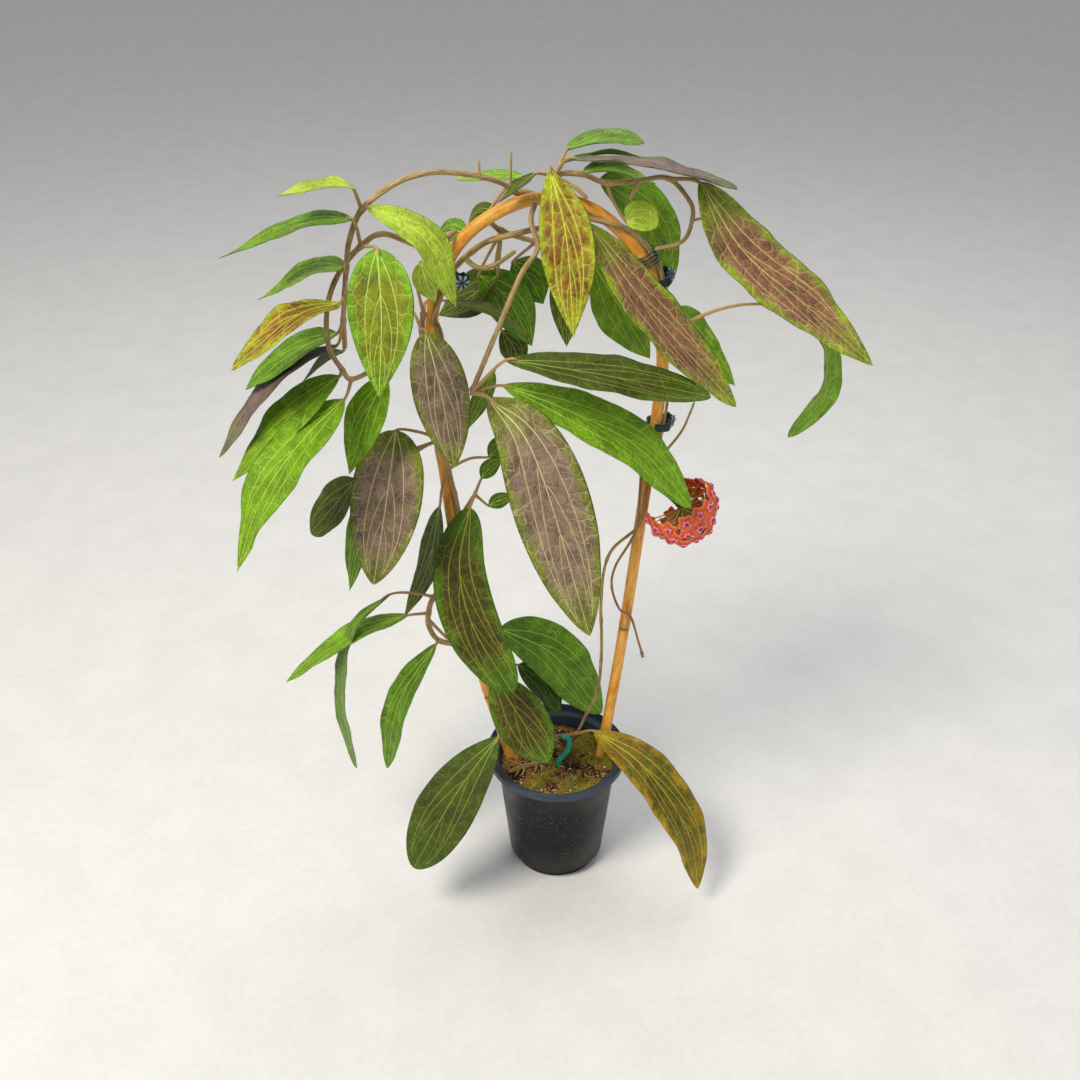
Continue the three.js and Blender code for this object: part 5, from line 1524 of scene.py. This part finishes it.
@dataclass(frozen=True)
class ClawClip:
    """A sprung open ring with teeth, round the cane and a stem, with two fluted finger pads."""

    name: str
    node: str
    x: float
    z: float
    held: float
    stem: float
    pads: float
    length: float = 7.0
    gap: float = 26.0
    pad: float = 6.6
    flutes: int = 7
    spring: float = 1.7
    spring_turns: int = 4

    def band(self, inner: float, outer: float) -> tuple[Array, Faces]:
        """Returns the points and faces of the toothed ring, in its own frame with the cane along Z."""
        gap = math.radians(self.gap)
        angles = np.linspace(gap, math.tau - gap, 85)
        teeth = np.clip(0.5 - 0.75 * np.cos((angles - gap) * 7 / (math.pi - gap)), 0, 1)
        rounded = np.sqrt(np.clip(np.minimum(angles - gap, math.tau - gap - angles) * 14, 0.25, 1))
        middle = (inner + outer) / 2
        over = middle + (outer - middle + 2.1 * teeth) * rounded
        under = middle + (inner - middle) * rounded
        depth = np.array((-0.5, -0.46, -0.36, 0, 0.36, 0.46, 0.5)) * self.length
        shrink = np.array((0.55, 0.85, 1, 1, 1, 0.85, 0.55))
        rings = []
        for angle, high, low in zip(angles, over, under):
            half, mean = (high - low) / 2, (high + low) / 2
            reach = np.concatenate((mean + half * shrink, mean - half * shrink[::-1]))
            level = np.concatenate((depth, depth[::-1]))
            rings.append(ring(reach, angle, level))
        return np.array(rings).reshape(-1, 3), ring_faces(len(rings), 14)

    def build(self) -> None:
        """Makes the clip: its band, its necks, its spring and its pads."""
        share = HOOP.nearest(self.x, self.z)
        along, out = HOOP.curve.direction(share), HOOP.aside(share, self.pads)
        across = np.cross(along, out)
        middle = HOOP.curve.at_share(share) + HOOP.aside(share, self.held) * (self.stem + 0.3)
        inner = HOOP.diameter / 2 + self.stem + 1.2
        outer = inner + 1.6
        points, faces = self.band(inner, outer)
        draft = MeshDraft().add(points @ np.array((-out, -across, along)) + middle, faces, ridge=0)
        sides = self.flutes * 12
        wave = 0.5 + 0.5 * np.cos(self.flutes * full_turn(sides))
        shares = np.array((0.14, 0.3, 0.5, 0.7, 0.88, 1.0))
        for way in (-1, 1):
            face = unit(out * 0.25 + across * way)
            seat = middle + out * (outer + 4.4) + across * way * 3.4 - face * 0.9
            side = unit(np.cross(face, along))
            reach = self.pad * (0.84 + 0.16 * wave)
            rise = 1.5 + 0.45 * wave * np.clip(shares[:, None] * 1.6 - 0.2, 0, 1) - 0.7 * shares[:, None] ** 6
            body, sheets, _ = plate(reach, rise, 1.6, shares)
            # The tops of the pad's flutes, away from its middle, are painted pale blue-grey
            upper = (wave[None] ** 2 * np.clip(shares[:, None] * 2.4 - 0.4, 0, 1)).ravel()
            pale_crests = np.concatenate((upper, np.zeros(sides * len(shares) + 2)))
            draft.add(body @ np.array((side, np.cross(face, side), face)) + seat, sheets, 1, ridge=pale_crests)
            neck = np.linspace(middle + out * (outer - 0.8) + across * way * 1.2, seat + face * 0.9, 8)
            draft.add(*tube(neck, np.linspace(1.6, 1.3, 8)), ridge=0)
        coil = np.linspace(0, 1, 60)
        turn = math.tau * self.spring_turns * coil
        spring = middle + out * (outer + 1.6) + np.outer(self.spring * np.cos(turn), across)
        spring += np.outer(self.spring * np.sin(turn), out) + np.outer((coil - 0.5) * 5, along)
        draft.add(*tube(spring, np.full(60, 0.4)), ridge=0)
        piece = draft.piece(self.name, (DARK_PLASTIC.material(), FLUTED_PAD.material()))
        settle_in(piece, "dark_plastic", self.node)


CLIPS = (
    ClawClip("shoulder_clip", "claw_clip_shoulder", 76, 626, 90, 2.2, 135),
    ClawClip("leg_clip", "claw_clip_leg", 83.5, 499, 60, 1.5, 130),
    ClawClip("left_clip", "claw_clip_left", -96, 636, -50, 2.6, -90),
)


@dataclass(frozen=True)
class PlantTie:
    """A glossy plastic strip, bent over the stems' foot."""

    route: Path = ((0, -8, 120.1), (4, -5, 128), (12, 1, 136), (12, 5, 145), (5, 4, 150))
    width: float = 5.2
    thick: float = 1.1

    def build(self) -> None:
        """Makes the strip, with rounded edges and ends."""
        curve = Spline(self.route)
        u = np.linspace(0, 1, 48)
        along = curve.along(u)
        side = unit(np.cross(along, FRONT))
        normal = np.cross(side, along)
        end = np.sqrt(np.clip(np.minimum(u, 1 - u) * curve.length / (self.width / 2) + 0.08, 0.08, 1))[:, None]
        angle = full_turn(20)
        wide, high = np.sin(angle), np.cos(angle)
        flat = np.sign(high) * np.abs(high) ** 0.45
        aside = side[:, None] * (wide * end * self.width / 2)[..., None]
        raised = normal[:, None] * (flat * self.thick / 2 * np.clip(end, 0.5, 1))[..., None]
        points = (curve.at(u)[:, None] + aside + raised).reshape(-1, 3)
        draft = MeshDraft().add(points, ring_faces(len(u), len(angle)))
        settle_in(draft.piece("teal_strip", (TEAL_STRIP.material(),)), "teal_plastic", "plant_tie")


@dataclass(frozen=True)
class SurfaceRoot:
    """A thick tan root and its rootlets, lying on the soil."""

    level: float = SOIL_TOP + CLEAR
    rootlets: tuple[tuple[float, float, float, float], ...] = (
        (-17, -6, -16, -17),
        (-21, -8, -24, -18),
        (-33, -12, -37, -23),
        (-39, -14, -43, -23),
        (-23, -8, -27, 2),
        (-34, -12, -40, -3),
    )

    def build(self) -> None:
        """Makes the root, its rootlets and their fuzz."""
        stems = StemDraft(21)
        z = self.level
        stems.lead(((-12, -4, z + 3), (-26, -9, z + 3.4), (-38, -13, z + 3.2), (-49, -19, z + 2.2)), (3, 2.1),
                   nodes=(8, 21, 33), down=0.5, swell=0.12)
        for x, y, to_x, to_y in self.rootlets:
            bend = ((x + to_x) / 2 + 1.5, (y + to_y) / 2, z + 2.4)
            stems.lead(((x, y, z + 2.6), bend, (to_x, to_y, z + 0.9)), (1.2, 0.6), youth=0.4, down=0.7)
        settle_in(stems.piece("tan_root", ROOT_SKIN), "root", "surface_root")
        settle_in(stems.hair_piece("tan_root_hairs", LEAF_HAIR), "root")


# The pot and its soil


class Relief:
    """A smooth random landscape made of plane waves."""

    def __init__(self, seed: int, size: float, waves: int = 14) -> None:
        """Draws the waves.

        Args:
            seed: What fixes the landscape.
            size: The distance across a usual lump, in millimetres.
            waves: How many waves there are.
        """
        random = np.random.default_rng(seed)
        way = random.uniform(0, math.tau, waves)
        pitch = random.uniform(0.6, 1.8, waves) * math.pi / size
        self.x, self.y = np.cos(way) * pitch, np.sin(way) * pitch
        self.phase = random.uniform(0, math.tau, waves)

    def height(self, x: Array, y: Array) -> Array:
        """Returns the landscape at points, mostly between -1 and 1."""
        waves = np.sin(x[..., None] * self.x + y[..., None] * self.y + self.phase)
        return waves.sum(-1) / math.sqrt(len(self.x))


class Cover(Enum):
    """Where a kind of bit lies on the soil."""

    OPEN = 0
    MOSSY = 1


@dataclass(frozen=True)
class Litter:
    """One kind of bit that lies on the soil, by how many there are on a square millimetre."""

    name: str
    finish: Finish
    cover: Cover
    density: float
    least: float
    most: float
    stretch: Point
    loose: float = 1.0

    def body(self) -> MeshDraft:
        """Makes the body that is strewn, about a millimetre across: a rough crumb, or a tuft of moss."""
        if self.cover is Cover.OPEN:
            return crumb(len(self.name))
        random = np.random.default_rng(4)
        draft = MeshDraft()
        for _ in range(6):
            lean, foot = random.uniform(-0.8, 0.8, 2), random.uniform(-0.4, 0.4, 2)
            base = (*foot, 0) + ring(0.16, SPIKE + random.uniform(0, 2), -0.3)
            draft.add(np.vstack((base, [(*(foot + lean), random.uniform(0.7, 1.3))])), SPIKE_FACES)
        return draft

    def strew(self, soil: Soil, seed: int) -> None:
        """Strews the bits.

        Args:
            soil: What they lie on.
            seed: What fixes where they lie.
        """
        random = np.random.default_rng(seed)
        reach = soil.edge - 1.5
        count = int(self.density * math.pi * reach**2)
        away, turn = reach * np.sqrt(random.uniform(0, 1, count)), random.uniform(0, math.tau, count)
        x, y = away * np.cos(turn), away * np.sin(turn)
        mossy = soil.mossy(x, y)
        share = mossy if self.cover is Cover.MOSSY else 1 - 0.75 * mossy
        kept = random.uniform(0, 1, count) < share
        x, y = x[kept], y[kept]
        lean = random.normal(0, 1, (len(x), 3)) * self.loose + np.array((0, 0, 1.0))
        size = random.uniform(self.least, self.most, len(x))
        place = np.stack((x, y, soil.level(x, y)), axis=1)
        roots = MeshDraft().add(place, (), lean=unit(lean), size=np.outer(size, self.stretch))
        settle_in(strewn(self.body(), roots, self.name, self.finish, smooth=False), "peat")


LITTER = (
    Litter("peat_crumbs", CRUMBS, Cover.OPEN, 0.3, 1.0, 3.0, (1, 0.8, 0.7)),
    Litter("peat_lumps", PEAT, Cover.OPEN, 0.022, 3.0, 5.6, (1, 0.8, 0.6), loose=0.5),
    Litter("perlite_grains", PERLITE, Cover.OPEN, 0.018, 1.2, 3.0, (1, 0.9, 0.8)),
    Litter("bark_bits", BARK_BITS, Cover.OPEN, 0.02, 2.0, 5.5, (1, 0.55, 0.3), loose=0.3),
    Litter("husk_flakes", STRAW, Cover.OPEN, 0.006, 2.0, 5.0, (1, 0.3, 0.15), loose=0.3),
    Litter("moss_tufts", MOSS, Cover.MOSSY, 0.55, 1.3, 2.6, (1, 1, 1), loose=0.12),
)


@dataclass
class Soil:
    """The peat plug: a lumpy surface with crumbs, perlite, bark bits, moss and fine roots on it."""

    top: float = SOIL_TOP
    floor: float = 2.35
    gap: float = CLEAR
    threads: int = 46
    reach: float = 48.0

    def __post_init__(self) -> None:
        """Lays out the surface."""
        self.edge = POT.wall_radius(self.top) - POT.wall - self.gap
        self.lumps, self.fine, self.moss = Relief(3, 17), Relief(4, 5), Relief(8, 26)

    def level(self, x: Array, y: Array) -> Array:
        """Returns the surface's height at points."""
        out = (np.hypot(x, y) / self.edge) ** 2
        waves = 1.5 * self.lumps.height(x, y) + 0.7 * self.fine.height(x, y)
        return self.top + 0.4 + (1 - 0.5 * out**3) * waves - 1.2 * out**4

    def mossy(self, x: Array, y: Array) -> Array:
        """Returns how mossy the surface is at points, from 0 to 1."""
        return np.clip((self.moss.height(x, y) + 0.012 * x + 0.1) * 2.5, 0, 1)

    def build(self) -> None:
        """Makes the soil and what lies on it."""
        sides = 132
        turns = full_turn(sides)
        x, y = np.cos(turns), np.sin(turns)
        rings = []
        for reach in np.linspace(1.5, self.edge - 0.6, 32):
            rings.append(ring(reach, turns, self.level(reach * x, reach * y)))
        low, foot = POT.foot_height + 4 + self.gap, POT.foot / 2 - POT.wall - self.gap
        sunk = [(POT.wall_radius(z) - POT.wall - self.gap, z) for z in (self.top - 4, 60.0, low)]
        for reach, z in (*sunk, (foot, low), (foot, self.floor)):
            rings.append(ring(reach, turns, z))
        draft = MeshDraft().add(*shell(np.array(rings), (0, 0, self.top + 0.8), (0, 0, self.floor)))
        settle_in(draft.piece("peat_plug", (PEAT.material(),)), "peat", "soil")
        for i, litter in enumerate(LITTER):
            litter.strew(self, 40 + i)
        settle_in(self.fine_roots(), "peat")

    def fine_roots(self) -> Object:
        """Makes the thin brown roots that creep over the surface."""
        stems = StemDraft(31)
        random = stems.random
        for _ in range(self.threads):
            x, y = random.uniform(-46, 46), random.uniform(-46, 30)
            if math.hypot(x, y) > self.reach:
                continue
            way = random.uniform(0, math.tau)
            route = []
            for _ in range(5):
                level = float(self.level(np.array([x]), np.array([y]))[0])
                route.append((x, y, level + 0.4 + random.uniform(0, 1.2)))
                way += random.normal(0, 0.7)
                x, y = x + 3.4 * math.cos(way), y + 3.4 * math.sin(way)
            stems.lead(route, (0.38, 0.2), youth=random.uniform(0, 1))
        return stems.piece("fine_roots", ROOT_SKIN, sides=6)


@dataclass
class Pot:
    """A moulded nursery pot: a band that overhangs at the rim, a foot, and drain holes in its floor."""

    rim: float = 140.0
    height: float = 138.0
    wall: float = 1.6
    foot: float = 88.0
    foot_height: float = 8.0
    body_foot: float = 97.0
    body_top: float = 121.0
    lip: float = 9.0
    holes: int = 8
    hole: float = 8.0
    hole_ring: float = 31.0
    tab: tuple[float, float] = (-106.0, -78.0)

    def wall_radius(self, z: float) -> float:
        """Returns the body's outer radius at a height."""
        low, high = self.foot_height + 2, self.height - self.lip
        return self.body_foot / 2 + (self.body_top - self.body_foot) / 2 * (z - low) / (high - low)

    def profile(self) -> list[tuple[float, float]]:
        """Returns the section from the middle of the inside floor, over the rim, to the middle of the foot."""
        shoulder, rim, foot = self.height - self.lip, self.rim / 2, self.foot / 2
        wall, low = self.wall_radius, self.foot_height
        return [
            (1, 2), (foot - self.wall - 1, 2), (foot - self.wall, 3), (foot - self.wall, low + 3),
            (foot - self.wall + 0.6, low + 4), (wall(low + 4) - self.wall - 0.5, low + 4),
            (wall(low + 5) - self.wall, low + 5), (wall(70) - self.wall, 70),
            (wall(shoulder) - self.wall, shoulder + 1), (wall(shoulder) - self.wall + 0.5, shoulder + self.wall),
            (rim - self.wall - 1.2, shoulder + self.wall), (rim - self.wall - 0.6, shoulder + self.wall + 0.6),
            (rim - self.wall, self.height - 0.7), (rim - self.wall + 0.5, self.height), (rim - 0.5, self.height),
            (rim, self.height - 0.6), (rim - 0.15, shoulder + 6.6), (rim - 0.15, shoulder + 6.4),
            (rim - 0.2, shoulder + 4), (rim - 0.3, shoulder + 1.6), (rim - 0.3, shoulder + 1.4),
            (rim - 0.45, shoulder + 0.5), (rim - 0.9, shoulder), (wall(shoulder) + 0.8, shoulder),
            (wall(shoulder), shoulder - 0.8), (wall(90), 90), (wall(50), 50), (wall(low + 3), low + 3),
            (wall(low + 2) - 0.6, low + 2), (foot + 0.5, low + 1.8), (foot, low + 1), (foot - 0.85, 0.6),
            (foot - 1.6, 0), (1, 0),
        ]

    def build(self) -> None:
        """Makes the pot, with its tab and drain holes."""
        sides = 180
        turns = full_turn(sides)
        degrees = (np.degrees(turns) + 180) % 360 - 180
        inside = np.minimum(degrees - self.tab[0], self.tab[1] - degrees)
        stands = np.clip(inside / 1.2 + 0.5, 0, 1)
        shoulder = self.height - self.lip
        rings = []
        for reach, level in self.profile():
            on_tab = reach > self.rim / 2 - 0.4 and shoulder + 1.45 < level < shoulder + 6.5
            rings.append(ring(reach + 0.9 * stands * on_tab, turns, level))
        points, faces = shell(np.array(rings), (0, 0, 2), (0, 0, 0))
        # The rim value picks out the band over the shoulder, which gets the painted blue-grey highlight
        draft = MeshDraft().add(points, faces, rim=ease(points[:, 2], shoulder - 0.5, shoulder + 1))
        body = draft.piece("nursery_pot_whole", (POT_PLASTIC.material(),))
        cutters = MeshDraft()
        for angle in full_turn(self.holes):
            line = ring(self.hole_ring, np.full(3, angle), np.array((-1.0, 1.0, 3.0)))
            cutters.add(*tube(line, np.full(3, self.hole / 2), 28))
        cutter = cutters.piece("drain_holes")
        cut = body.modifiers.new("drain", "BOOLEAN")
        cut.operation, cut.solver, cut.object = "DIFFERENCE", "EXACT", cutter
        pot = settled(body, "nursery_pot")
        bpy.data.objects.remove(body)
        bpy.data.objects.remove(cutter)
        settle_in(pot, "pot", "pot")


POT = Pot()


# Studio


@dataclass(frozen=True)
class Lamp:
    """A soft square light."""

    name: str
    place: Point
    aim: Point
    size: float
    power: float
    colour: str


@dataclass
class Studio:
    """A pale floor, soft light and a camera at the photograph's angle."""

    camera: Point = (-0.017, -0.955, 0.983)
    pitch: float = 32.0
    lens: float = 41.33
    sensor: float = 36.0
    floor: float = 16.0
    world: float = 0.36
    lamps: tuple[Lamp, ...] = (
        Lamp("window", (-1.0, -1.1, 2.3), (0, 0, 0.45), 0.8, 44, "#fff8ea"),
        Lamp("fill", (1.6, -1.5, 1.2), (0, 0, 0.4), 1.8, 7, "#f2f6ff"),
        Lamp("top", (0.2, 0.9, 2.2), (0, 0, 0.5), 1.4, 14, "#ffffff"),
    )

    def build(self) -> None:
        """Sets up the floor, the light and the camera."""
        scene = bpy.context.scene
        half = self.floor / 2
        square = np.array([(-half, -half, 0), (half, -half, 0), (half, half, 0), (-half, half, 0)]) / MM
        draft = MeshDraft().add(square - (0, 0, 0.4), [(0, 1, 2, 3)])
        paper = Finish("matt white backdrop paper", "#ecebe8", "#f2f1ee", grain=8.0, roughness=0.88, bump=0.02)
        draft.piece("floor", (paper.material(),))
        world = bpy.data.worlds.new("soft daylight")
        world.use_nodes = True
        world.node_tree.nodes["Background"].inputs[0].default_value = linear("#f7f9ff")
        world.node_tree.nodes["Background"].inputs[1].default_value = self.world
        scene.world = world
        for lamp in self.lamps:
            data = bpy.data.lights.new(lamp.name, "AREA")
            data.energy, data.size, data.color = lamp.power, lamp.size, linear(lamp.colour)[:3]
            light = linked(lamp.name, data)
            light.location = lamp.place
            light.rotation_euler = (Vector(lamp.aim) - Vector(lamp.place)).to_track_quat("-Z", "Y").to_euler()
        data = bpy.data.cameras.new("camera")
        data.lens, data.sensor_width = self.lens, self.sensor
        camera = linked("camera", data)
        camera.location = self.camera
        camera.rotation_euler = (math.radians(90 - self.pitch), 0, 0)
        scene.camera = camera
        scene.view_settings.view_transform = "Standard"


def main() -> None:
    """Builds every sub-assembly."""
    logging.basicConfig(level=logging.INFO, format="%(name)s: %(message)s")
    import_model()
    Studio().build()
    POT.build()
    Soil().build()
    HOOP.build()
    for part in (*VINES, *SHOOTS, Umbel(), WireCoil(), *CLIPS, PlantTie(), SurfaceRoot()):
        part.build()


if __name__ == "__main__":
    main()
